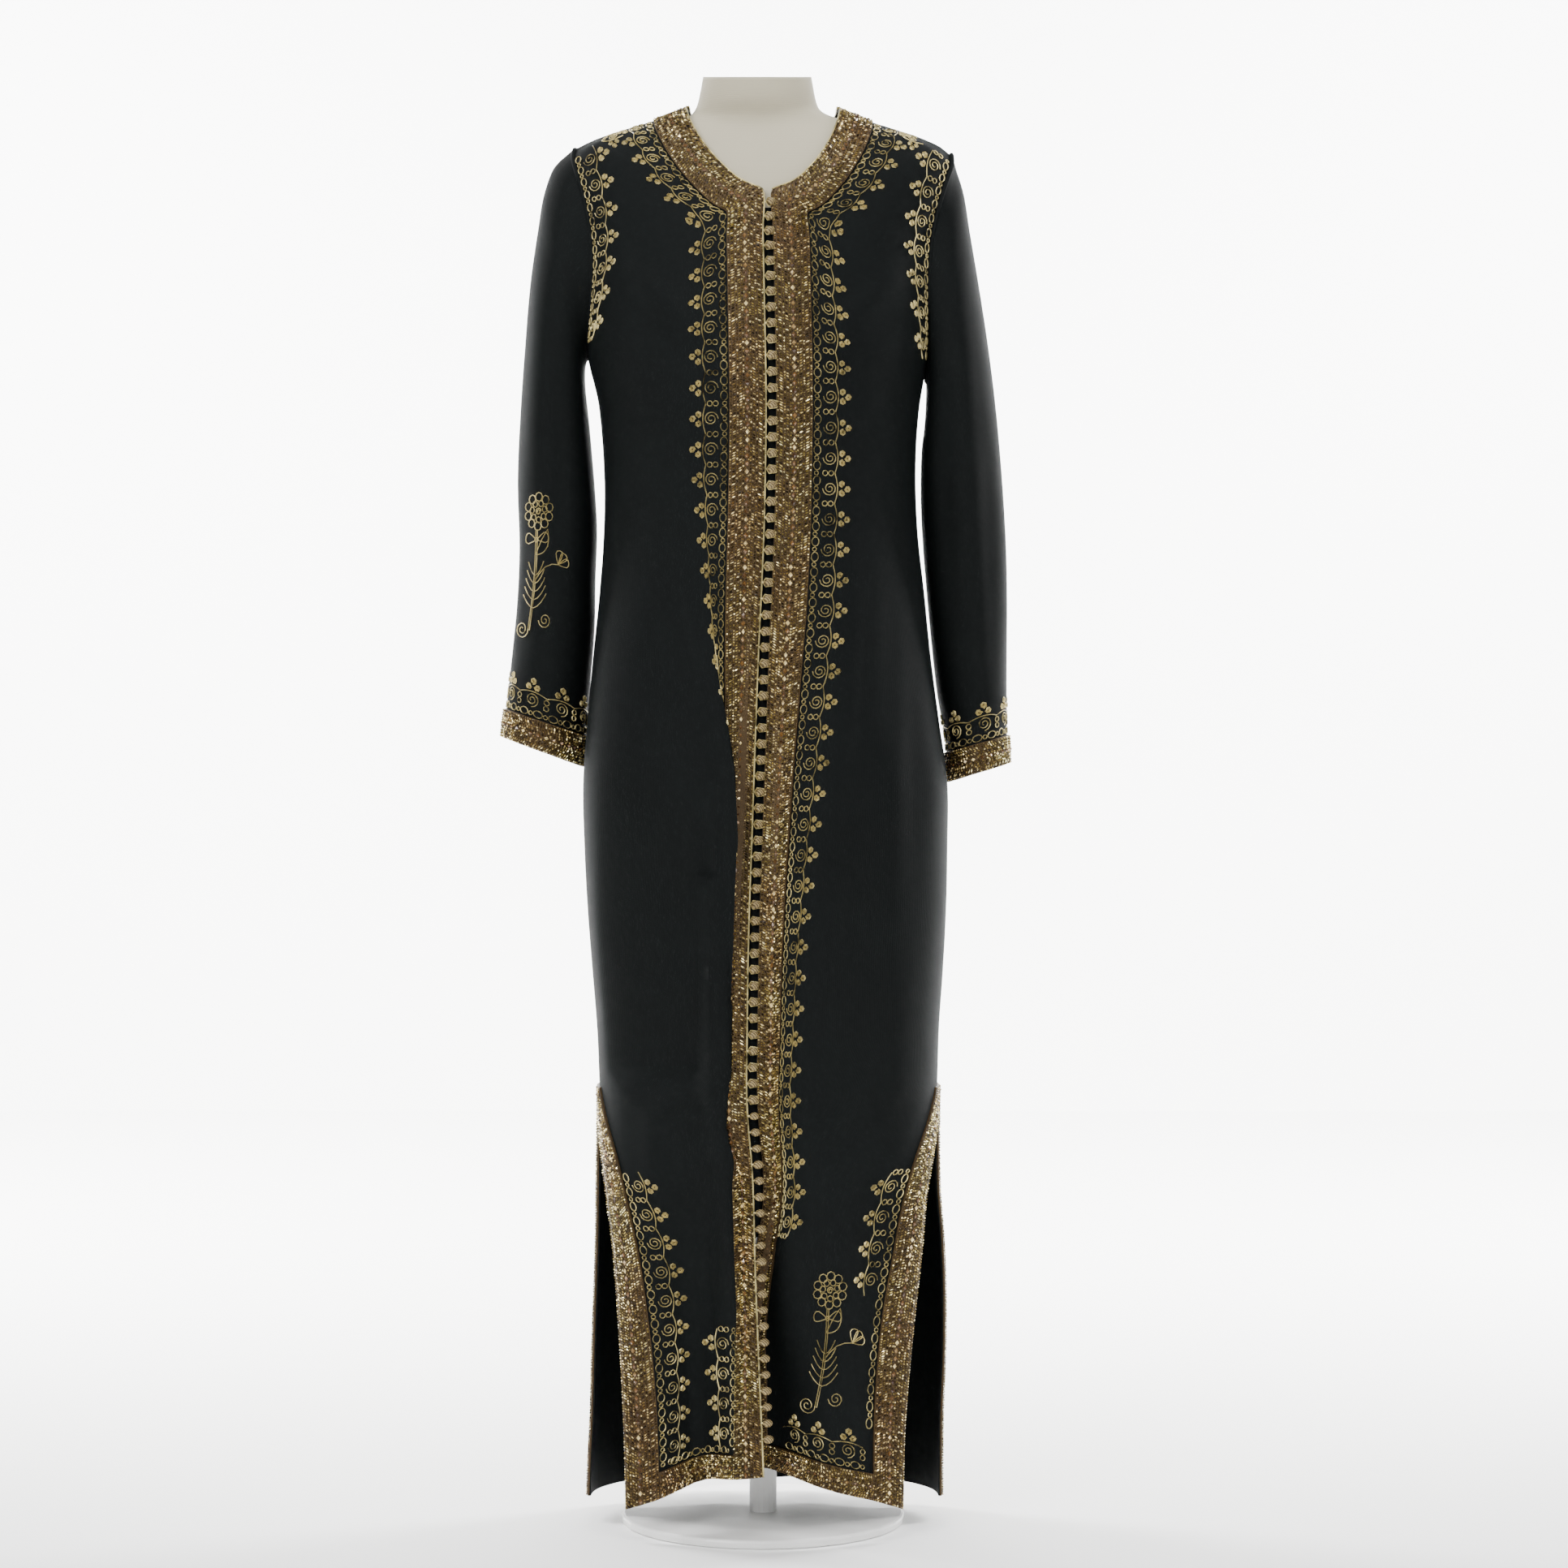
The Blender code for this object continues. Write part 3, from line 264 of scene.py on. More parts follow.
FOLDS = (
    ("right", -0.010, -0.012, 1.060, 0.400, 0.026, 0.026, 0.45),
    ("left", 0.012, 0.012, 1.050, 0.420, 0.024, 0.040, 0.45),
    ("left", 0.016, 0.026, 0.480, -0.300, 0.074, 0.034, 0.60),
    ("right", -0.062, -0.076, 0.520, -0.300, 0.056, 0.034, 0.60),
    ("right", -0.120, -0.112, 1.100, 0.350, 0.007, 0.022, 0.50),
    ("left", 0.135, 0.140, 1.120, 0.560, 0.009, 0.020, 0.45),
    ("left", 0.120, 0.105, 0.760, -0.100, 0.010, 0.022, 0.60),
    ("back", -0.070, -0.085, 1.150, -0.300, 0.026, 0.032, 0.70),
    ("back", 0.012, 0.004, 1.120, -0.300, 0.032, 0.034, 0.70),
    ("back", 0.085, 0.095, 1.130, -0.300, 0.024, 0.030, 0.70),
)
SLIDE_TOP = 0.370
SLIDE_FULL = 0.150
SLIDE = 0.040
SLIDE_REACH = 0.120         # how far from the closure the cloth is drawn along
FRONT_HEM = 0.070
ROWS = (FRONT_HEM, FRONT_HEM + HEM_BRAID / 2, FRONT_HEM + HEM_BRAID, 0.140, 0.190, 0.240,
        0.290, 0.340, 0.380, 0.415, SLIT_TOP, 0.505, 0.565, 0.625, 0.690, 0.755, 0.820,
        0.885, 0.950, 1.010, 1.060, 1.105, 1.145)
HEM_ROWS = 3
HEM_DROP = 0.040            # a front hem's outer corner hangs lower than its inner one
HEM_DROP_ENDS = 0.340
BACK_HEM = 0.024
BACK_HEM_RISE_ENDS = 0.290
UPPER_EDGE_ROWS = (1.185, 1.225, 1.265, 1.302)      # front edge, up to the neck corner
NECK_ROWS = 5
UPPER_STEPS = len(UPPER_EDGE_ROWS) + 1 + NECK_ROWS
SEAM_PHI = 11.5             # where the shoulder seam meets the armhole
INNER_SHARES = (0.10, 0.20, 0.31, 0.44, 0.60, 0.80)  # columns between the two braids
ROW_ARCH = 0.010            # rows near the shoulder bow up over it, from this row on
ROW_ARCH_FROM = 5
BACK_TURN_Y = 0.042         # depth where a back column turns onto the shoulder
BACK_TURN_SHARE = 0.8
SHOULDER_TOP_Y = 0.030      # a back point nearer the front than this, and above
SHOULDER_TOP_Z = 1.364      # this height, lies on the shoulder's top
ARMHOLE_COLUMNS = ("centre", "half_height", "set_off")
ARMHOLES = {"right": (1.298, 0.108, 0.0020), "left": (1.284, 0.117, 0.0030)}
FRONT_PHI = tuple(180.0 - (180.0 - SEAM_PHI) * (k + 0.6) / (UPPER_STEPS - 0.4)
                  for k in range(UPPER_STEPS))
BACK_PHI = (168.0, 148.0, 128.0, 108.0, 88.0, 68.0, 48.0, 28.0, 8.0)
SIGN = {"right": -1.0, "left": 1.0}


def hermite(f, here, there, span, lean_here, lean_there):
    """A smooth curve's value at share f between two points, from its leans there."""
    return ((1 + 2 * f) * (1 - f) ** 2 * here + f * (1 - f) ** 2 * span * lean_here
            + f * f * (3 - 2 * f) * there + f * f * (f - 1) * span * lean_there)


def read(table, columns, name, z):
    """A column of a table at height z, through its rows by a smooth curve."""
    at = columns.index(name)
    heights = [row[0] for row in table]
    values = [row[at] for row in table]
    if z <= heights[0]:
        return values[0]
    if z >= heights[-1]:
        return values[-1]
    i = max(k for k in range(len(heights) - 1) if heights[k] <= z)
    span = heights[i + 1] - heights[i]
    f = (z - heights[i]) / span

    def slope(k):
        if k == 0 or k == len(heights) - 1:
            return 0.0
        before = (values[k] - values[k - 1]) / (heights[k] - heights[k - 1])
        after = (values[k + 1] - values[k]) / (heights[k + 1] - heights[k])
        if before * after <= 0.0:
            return 0.0
        return 2.0 * before * after / (before + after)

    return hermite(f, values[i], values[i + 1], span, slope(i), slope(i + 1))


def body(name, z):
    return read(BODY, BODY_COLUMNS, name, z)


def closure_x(z):
    return read(CLOSURE, CLOSURE_COLUMNS, "x", z)


def half_width(x, z):
    return body("left" if x > 0 else "right", z)


def half_depth(y, z):
    return body("front" if y < 0 else "back", z)


def around(angle, z):
    """Point at an angle in degrees: 0 front, -90 wearer's right side, 180 back."""
    a = math.radians(angle)
    s, c = math.sin(a), math.cos(a)
    x = math.copysign(abs(s) ** (2 / SQUARENESS), s) * half_width(s, z)
    y = -math.copysign(abs(c) ** (2 / SQUARENESS), c) * half_depth(-c, z)
    return Vector((x, y, z))


def depth_at(x, z, face):
    """Y of the surface in front (face -1) or behind (face 1) at x and z."""
    share = min(1.0, abs(x) / half_width(x, z))
    return face * half_depth(face, z) * (1.0 - share ** SQUARENESS) ** (1 / SQUARENESS)


def width_at(y, z, side):
    """Distance from the middle at depth y and height z."""
    share = min(1.0, abs(y) / half_depth(y, z))
    return body(side, z) * (1.0 - share ** SQUARENESS) ** (1 / SQUARENESS)


def height_at(x, y):
    """Height of the shoulder's surface over x and y."""
    low, high = RIDGE_LOW, RIDGE_HIGH
    for _ in range(HALVINGS):
        z = 0.5 * (low + high)
        across, deep = abs(x) / half_width(x, z), abs(y) / half_depth(y, z)
        if across ** SQUARENESS + deep ** SQUARENESS > 1.0:
            high = z
        else:
            low = z
    return 0.5 * (low + high)


def angle_of(x, z):
    """Front angle of a point at x and z."""
    share = min(1.0, abs(x) / half_width(x, z))
    return math.copysign(math.degrees(math.asin(share ** (SQUARENESS / 2))), x)


def fold_depth(panel, x, z):
    """How far the folds push the cloth towards the body's middle."""
    total = 0.0
    for row in FOLDS:
        fold = dict(zip(FOLD_COLUMNS, row))
        if fold["panel"] != panel:
            continue
        f = (fold["z_top"] - z) / (fold["z_top"] - fold["z_bottom"])
        if f <= 0.0 or f >= 1.0:
            continue
        peak = fold["peak"]
        rise = f / peak if f < peak else (1.0 - f) / (1.0 - peak)
        centre = closure_x(z) + fold["x_top"] + (fold["x_bottom"] - fold["x_top"]) * f
        swell = rise * rise * (3.0 - 2.0 * rise)
        total += fold["depth"] * swell * math.exp(-((x - centre) / fold["width"]) ** 2)
    return total


def slide(panel, x, z):
    """How far the left front's cloth is drawn sideways, behind the right front."""
    if panel != "left" or z >= SLIDE_TOP:
        return 0.0
    f = min(1.0, (SLIDE_TOP - z) / (SLIDE_TOP - SLIDE_FULL))
    t = min(1.0, max(0.0, (x - closure_x(z)) / SLIDE_REACH))
    return SLIDE * f * f * (3.0 - 2.0 * f) * (1.0 - t) ** 2


def folded(point, panel):
    face = 1.0 if panel == "back" else -1.0
    push = fold_depth(panel, point.x, point.z)
    # folds die out where the cloth turns round the side
    flat = min(1.0, abs(point.y) / (FOLD_SIDE * body("front", point.z)))
    return Vector((point.x - slide(panel, point.x, point.z), point.y - face * push * flat,
                   point.z))


def length_of(line):
    return sum((b - a).length for a, b in zip(line, line[1:]))


def at_distance(line, distance):
    """The point a given distance along a line."""
    for a, b in zip(line, line[1:]):
        step = (b - a).length
        if distance <= step or b is line[-1]:
            return a.lerp(b, min(1.0, distance / step) if step else 0.0)
        distance -= step
    return line[-1].copy()


def pick(line, starts, ends, shares):
    """Points at set distances from both ends of a line, and at shares of what is between."""
    total = length_of(line)
    first, last = starts[-1], total - ends[-1]
    inner = [first + (last - first) * share for share in shares]
    marks = list(starts) + inner + [total - d for d in reversed(ends)]
    return [at_distance(line, m) for m in marks]


def neckline(side):
    """Front neckline from the corner to the shoulder seam, in the front view."""
    start = closure_x(NECK_CORNER_Z) + SIGN[side] * CLOSURE_GAP / 2
    end = SIGN[side] * NECK_HALF_WIDTH
    top = height_at(end, SHOULDER_SEAM_Y)
    line = []
    for k in range(NECK_ROWS + 1):
        a = math.pi / 2 * (k / NECK_ROWS) ** NECK_ROW_SPREAD
        across = math.sin(a) ** (2 / NECK_ROUNDNESS[side])
        below = math.cos(a) ** (2 / NECK_ROUNDNESS[side]) if k < NECK_ROWS else 0.0
        line.append((start + (end - start) * across,
                     NECK_CORNER_Z + (top - NECK_CORNER_Z) * (1 - below)))
    return line


def armhole(side):
    return dict(zip(ARMHOLE_COLUMNS, ARMHOLES[side]))


def armhole_point(side, phi, face=-1.0):
    """Point of the armhole: phi 180 underarm, 0 the top."""
    oval = armhole(side)
    y = face * ARMHOLE_HALF_DEPTH * abs(math.sin(math.radians(phi)))
    z = oval["centre"] + oval["half_height"] * math.cos(math.radians(phi))
    return Vector((SIGN[side] * width_at(y, z, side), y, z))


def side_height(z):
    """A front row's height at the outer edge: the hem drops towards the slit."""
    return z - HEM_DROP * max(0.0, HEM_DROP_ENDS - z) / (HEM_DROP_ENDS - FRONT_HEM)


def inner_braid_line(edge, side):
    """The edge line moved in by the braid's width, mitred at its corners."""
    moved = []
    for k, here in enumerate(edge):
        before = edge[max(0, k - 1)]
        after = edge[min(len(edge) - 1, k + 1)]
        normals = []
        for a, b in ((before, here), (here, after)):
            dx, dz = b[0] - a[0], b[1] - a[1]
            size = math.hypot(dx, dz)
            if size > 0:
                normals.append((SIGN[side] * abs(dz) / size, -abs(dx) / size))
        nx = sum(n[0] for n in normals) / len(normals)
        nz = sum(n[1] for n in normals) / len(normals)
        square = nx * nx + nz * nz
        moved.append((here[0] + nx / square * BRAID_WIDTH, here[1] + nz / square * BRAID_WIDTH))
    return moved


def upper_front_row(side, outer, turn, end, arch):
    """A row from the front edge or neckline to the armhole, first across the braid."""
    turn = (turn[0], min(turn[1], height_at(turn[0], NECK_BRAID_END_Y)))
    first = [Vector((outer[0] + (turn[0] - outer[0]) * m / 3, 0.0,
                     outer[1] + (turn[1] - outer[1]) * m / 3)) for m in range(4)]
    rest = []
    for m in range(LINE_STEPS + 1):
        f = m / LINE_STEPS
        rest.append(Vector((turn[0] + (end.x - turn[0]) * f, 0.0,
                            turn[1] + (end.z - turn[1]) * f + arch * math.sin(math.pi * f))))
    for p in first + rest:
        p.z = min(p.z, height_at(p.x, SHOULDER_SEAM_Y))
        p.y = depth_at(p.x, p.z, -1.0)
    first = [folded(p, side) for p in first]
    rest = [folded(p, side) for p in rest]
    rest[-1] = end
    spread = length_of(rest)
    strip = min(BRAID_WIDTH, SHORT_ROW_SHARE * spread)
    marks = [(spread - strip) * share for share in INNER_SHARES]
    marks += [spread - strip * k / 3 for k in range(3, 0, -1)]
    return first + [at_distance(rest, m) for m in marks] + [end]


def front_grid(side):
    """Rows from hem to shoulder seam, columns from the front edge to the side."""
    sign = SIGN[side]
    grid = []
    for z in ROWS:
        reach = read(SLIT_REACH, SLIT_COLUMNS, side, side_height(z))
        start = angle_of(closure_x(z) + sign * CLOSURE_GAP / 2, z)
        line = []
        for k in range(LINE_STEPS + 1):
            f = k / LINE_STEPS
            angle = start + (sign * (reach - SIDE_CLEAR) - start) * f
            height = z + (side_height(z) - z) * f
            line.append(folded(around(angle, height), side))
        grid.append(pick(line, BRAID_STEPS, BRAID_STEPS, INNER_SHARES))
    edge = [(closure_x(z) + sign * CLOSURE_GAP / 2, z) for z in UPPER_EDGE_ROWS] + neckline(side)
    inner = inner_braid_line([(edge[0][0], ROWS[-1])] + edge, side)[1:]
    for k, phi in enumerate(FRONT_PHI[:-1]):
        arch = ROW_ARCH * max(0.0, k - ROW_ARCH_FROM) / (UPPER_STEPS - 1 - ROW_ARCH_FROM)
        grid.append(upper_front_row(side, edge[k], inner[k], armhole_point(side, phi), arch))
    tip = abs(armhole_point(side, SEAM_PHI).x)
    seam = []
    for m in range(LINE_STEPS + 1):
        x = sign * (NECK_HALF_WIDTH + (tip - NECK_HALF_WIDTH) * m / LINE_STEPS)
        seam.append(Vector((x, SHOULDER_SEAM_Y, height_at(x, SHOULDER_SEAM_Y))))
    share = min(1.0, SHORT_ROW_SHARE * length_of(seam) / BRAID_WIDTH)
    grid.append(pick(seam, BRAID_STEPS, [d * share for d in BRAID_STEPS], INNER_SHARES))
    return grid


def back_top():
    """Top edge of the back: shoulder seam, neckline and shoulder seam."""
    seam_y = SHOULDER_SEAM_Y + BACK_SEAM_GAP
    line = []
    for side, order in (("right", 1), ("left", -1)):
        tip = abs(armhole_point(side, SEAM_PHI).x)
        xs = [tip + (NECK_HALF_WIDTH - tip) * k / BACK_SHOULDER_STEPS
              for k in range(BACK_SHOULDER_STEPS + 1)]
        part = [(SIGN[side] * x, seam_y) for x in xs]
        for k in range(1, BACK_NECK_STEPS + 1):
            a = math.pi / 2 * k / BACK_NECK_STEPS
            across = max(0.0, math.cos(a)) ** BACK_NECK_SHAPE[0]
            back = math.sin(a) ** BACK_NECK_SHAPE[1]
            part.append((SIGN[side] * NECK_HALF_WIDTH * across,
                         seam_y + (BACK_NECK_Y - seam_y) * back))
        line.append(part if order > 0 else part[::-1])
    right, left = line
    right[-1] = (0.0, BACK_NECK_Y)
    return right + left[1:]


def climb(x0, y0, z0, x1, y1):
    """Line over the back from a low point up to a point of the top edge."""
    z1 = height_at(x1, y1)
    turn_y = max(y1, min(BACK_TURN_Y, y0))
    turn_z = height_at(x0 + (x1 - x0) * BACK_TURN_SHARE, turn_y) if turn_y > y1 else z1
    line = [Vector((x0, y0, z0))]
    for k in range(1, CLIMB_STEPS[0] + 1):
        f = k / CLIMB_STEPS[0]
        x, z = x0 + (x1 - x0) * BACK_TURN_SHARE * f, z0 + (turn_z - z0) * f
        line.append(Vector((x, depth_at(x, z, 1.0), z)))
    for k in range(1, CLIMB_STEPS[1] + 1):
        f = k / CLIMB_STEPS[1]
        x = x0 + (x1 - x0) * (BACK_TURN_SHARE + (1 - BACK_TURN_SHARE) * f)
        y = turn_y + (y1 - turn_y) * f
        line.append(Vector((x, y, height_at(x, y))))
    return line


def back_grid():
    top = back_top()
    columns = len(top)
    grid = []
    for z in ROWS:
        rise = max(0.0, BACK_HEM_RISE_ENDS - z) / (BACK_HEM_RISE_ENDS - FRONT_HEM)
        low = z - (FRONT_HEM - BACK_HEM) * (1.0 if z in ROWS[:HEM_ROWS] else rise)
        line = []
        for k in range(LINE_STEPS + 1):
            angle = 90.0 + SIDE_CLEAR + (180.0 - 2 * SIDE_CLEAR) * k / LINE_STEPS
            line.append(folded(around(-angle, low), "back"))
        inner = columns - 2 * len(BRAID_STEPS) + 1
        grid.append(pick(line, BRAID_STEPS, BRAID_STEPS,
                         [k / inner for k in range(1, inner)]))
    upper = len(BACK_PHI) + 1
    for k in range(1, upper + 1):
        grid.append([])
    ends = {}
    for side in ("right", "left"):
        ends[side] = [armhole_point(side, phi, 1.0) for phi in BACK_PHI]
        tip = armhole_point(side, SEAM_PHI)
        ends[side].append(Vector((tip.x, top[0][1], height_at(tip.x, top[0][1]))))
    for c in range(columns):
        start = grid[len(ROWS) - 1][c]
        line = climb(start.x, start.y, start.z, *top[c])
        total = length_of(line)
        braid = [total - BRAID_WIDTH, total - BRAID_WIDTH / 2, total]
        steps = [braid[0] * k / (upper - 2) for k in range(1, upper - 2)] + braid
        for k in range(upper):
            if c == 0:
                grid[len(ROWS) + k].append(ends["right"][k])
            elif c == columns - 1:
                grid[len(ROWS) + k].append(ends["left"][k])
            else:
                grid[len(ROWS) + k].append(at_distance(line, steps[k]))
    for row in grid[len(ROWS):-1]:
        for c in (1, 2, 3):
            for near, far, here in ((0, 4, c), (columns - 1, columns - 5, columns - 1 - c)):
                p = row[near].lerp(row[far], c / 4)
                if p.y > SHOULDER_TOP_Y or p.z < SHOULDER_TOP_Z:
                    p.y = depth_at(p.x, p.z, 1.0)
                else:
                    p.z = height_at(p.x, p.y)
                row[here] = p
    return grid


CLOTH_STEP = 0.0065         # size of the cloth's mesh
TINY = 1e-9                 # keeps a division by a length of nothing finite
SHOULDER_LEAN = 6.0         # how fast outwards turns into upwards above the ridge
CREASE_FADE = 0.8           # exponent of a crease's height along it
CREASE_FREE = 6             # fine rows at a panel's ends that stay smooth
CREASE_EASE = 5             # fine columns beside the braid over which creases begin

# soft creases: panel, a line in the front view (x, z to x, z), half width, height (+ ridge)
CREASES = (
    ("right", -0.060, 1.200, -0.165, 1.300, 0.011, 0.0026),
    ("right", -0.045, 1.150, -0.160, 1.255, 0.012, -0.0024),
    ("right", -0.070, 1.120, -0.150, 1.180, 0.010, 0.0020),
    ("left", 0.060, 1.190, 0.158, 1.285, 0.011, 0.0026),
    ("left", 0.050, 1.145, 0.150, 1.235, 0.012, -0.0022),
    ("left", 0.075, 1.105, 0.145, 1.165, 0.010, 0.0020),
    ("right", -0.085, 1.080, -0.092, 0.480, 0.010, 0.0030),
    ("right", -0.110, 0.980, -0.128, 0.300, 0.013, -0.0034),
    ("left", 0.075, 0.740, 0.084, 0.110, 0.011, 0.0040),
    ("left", 0.058, 0.900, 0.060, 0.330, 0.010, -0.0030),
    ("left", 0.137, 0.960, 0.136, 0.560, 0.010, 0.0036),
    ("left", 0.105, 1.020, 0.108, 0.420, 0.012, -0.0034),
    ("back", -0.115, 1.150, -0.125, 0.120, 0.016, 0.0040),
    ("back", -0.035, 1.050, -0.040, 0.100, 0.014, -0.0036),
    ("back", 0.048, 1.080, 0.052, 0.100, 0.014, 0.0040),
    ("back", 0.128, 1.100, 0.136, 0.150, 0.016, -0.0034),
    ("back", -0.140, 1.290, -0.060, 1.190, 0.014, 0.0026),
    ("back", 0.140, 1.280, 0.062, 1.185, 0.014, 0.0026),
    ("sleeve_right", -0.222, 1.300, -0.232, 1.020, 0.011, 0.0030),
    ("sleeve_right", -0.204, 1.220, -0.208, 0.930, 0.010, -0.0030),
    ("sleeve_right", -0.236, 1.060, -0.246, 0.880, 0.009, -0.0024),
    ("sleeve_left", 0.196, 1.290, 0.214, 0.960, 0.011, 0.0032),
    ("sleeve_left", 0.180, 1.180, 0.192, 0.900, 0.010, -0.0030),
    ("sleeve_left", 0.228, 1.120, 0.236, 0.860, 0.010, -0.0026),
)


# each front folds over beside its closure below the waist: for each height, how far from the
# front edge the fold's start, crest and end lie, and its shift towards the closure and outwards
OVERFOLD_COLUMNS = ("z", "start", "crest", "end", "over", "out")
OVERFOLDS = {
    "right": ((0.05, 0.000, 0.040, 0.095, 0.0000, 0.0000), (0.14, 0.000, 0.040, 0.095, 0.0060, 0.0020),
              (0.23, 0.000, 0.040, 0.095, 0.0120, 0.0040), (0.36, 0.000, 0.040, 0.095, 0.0140, 0.0050),
              (0.42, 0.030, 0.058, 0.105, 0.0310, 0.0090), (0.47, 0.036, 0.083, 0.170, 0.0615, 0.0120),
              (0.60, 0.036, 0.085, 0.185, 0.0650, 0.0125), (0.70, 0.036, 0.085, 0.185, 0.0625, 0.0125),
              (0.77, 0.036, 0.085, 0.185, 0.0560, 0.0120), (0.82, 0.036, 0.085, 0.185, 0.0450, 0.0110),
              (0.87, 0.036, 0.085, 0.180, 0.0330, 0.0090), (0.93, 0.036, 0.085, 0.170, 0.0220, 0.0065),
              (1.00, 0.036, 0.085, 0.165, 0.0100, 0.0030), (1.08, 0.036, 0.085, 0.165, 0.0000, 0.0000)),
    "left": ((0.16, 0.000, 0.079, 0.100, 0.0000, 0.0000), (0.23, 0.000, 0.079, 0.100, 0.0180, 0.0020),
             (0.30, 0.000, 0.079, 0.100, 0.0320, 0.0050), (0.38, 0.000, 0.079, 0.102, 0.0340, 0.0080),
             (0.45, 0.000, 0.080, 0.110, 0.0330, 0.0090), (0.50, 0.000, 0.083, 0.150, 0.0320, 0.0100),
             (0.58, 0.000, 0.086, 0.175, 0.0290, 0.0110), (0.66, 0.000, 0.086, 0.180, 0.0220, 0.0100),
             (0.74, 0.000, 0.086, 0.185, 0.0140, 0.0075), (0.83, 0.000, 0.086, 0.185, 0.0060, 0.0030),
             (0.92, 0.000, 0.086, 0.185, 0.0000, 0.0000)),
}
OVER_BRAID = 0.0062         # the fold stays this far in front of the braid's cloth
BACK_OFF = 0.006            # from its crest on, a fold's bulge begins to fade this much later
OVER_FROM, OVER_TO = -0.010, 0.002      # the clearance grows between these places at the braid
OVER_FULL = 0.02            # and is whole where the cloth has shifted this far
LOWER_LAYER = 0.0025        # extra clearance of the cloth beyond the crest
LOWER_EASE = 0.004
LOWER_WHERE = 0.004         # only where the fold already stands this clear


def ease(x, low, high):
    f = np.clip((x - low) / (high - low), 0.0, 1.0)
    return f * f * (3.0 - 2.0 * f)


def smooth(grid, steps, ring=False):
    """Rows added between a grid's rows, on smooth curves through them."""
    count = len(grid)

    def row(k):
        return grid[k % count] if ring else grid[min(max(k, 0), count - 1)]

    def size(step):
        return np.maximum(np.linalg.norm(step, axis=-1, keepdims=True), TINY)

    def lean(before, after):
        """Direction at a point, eased where the line turns a corner."""
        a, b = size(before), size(after)
        turn = np.sum(before / a * after / b, axis=-1, keepdims=True)
        mean = (before / a * b + after / b * a) / (a + b)
        still = (a < 1e-8) | (b < 1e-8)
        return np.where(still, (before + after) / size(before + after), mean * np.clip(turn, 0, 1))

    made = []
    for k in range(count if ring else count - 1):
        here = row(k + 1) - row(k)
        span = size(here)
        start, end = lean(row(k) - row(k - 1), here), lean(here, row(k + 2) - row(k + 1))
        made += [hermite(s / steps[k], row(k), row(k + 1), span, start, end)
                 for s in range(steps[k])]
    if not ring:
        made.append(grid[-1])
    return np.array(made)


def along(points):
    """Distance of each point along a line, from its first."""
    return np.concatenate([[0], np.cumsum(np.linalg.norm(np.diff(points, axis=0), axis=1))])


def steps_for(grid):
    sizes = np.linalg.norm(np.diff(grid, axis=0), axis=-1).mean(axis=1)
    return [max(1, math.ceil(size / CLOTH_STEP)) for size in sizes]


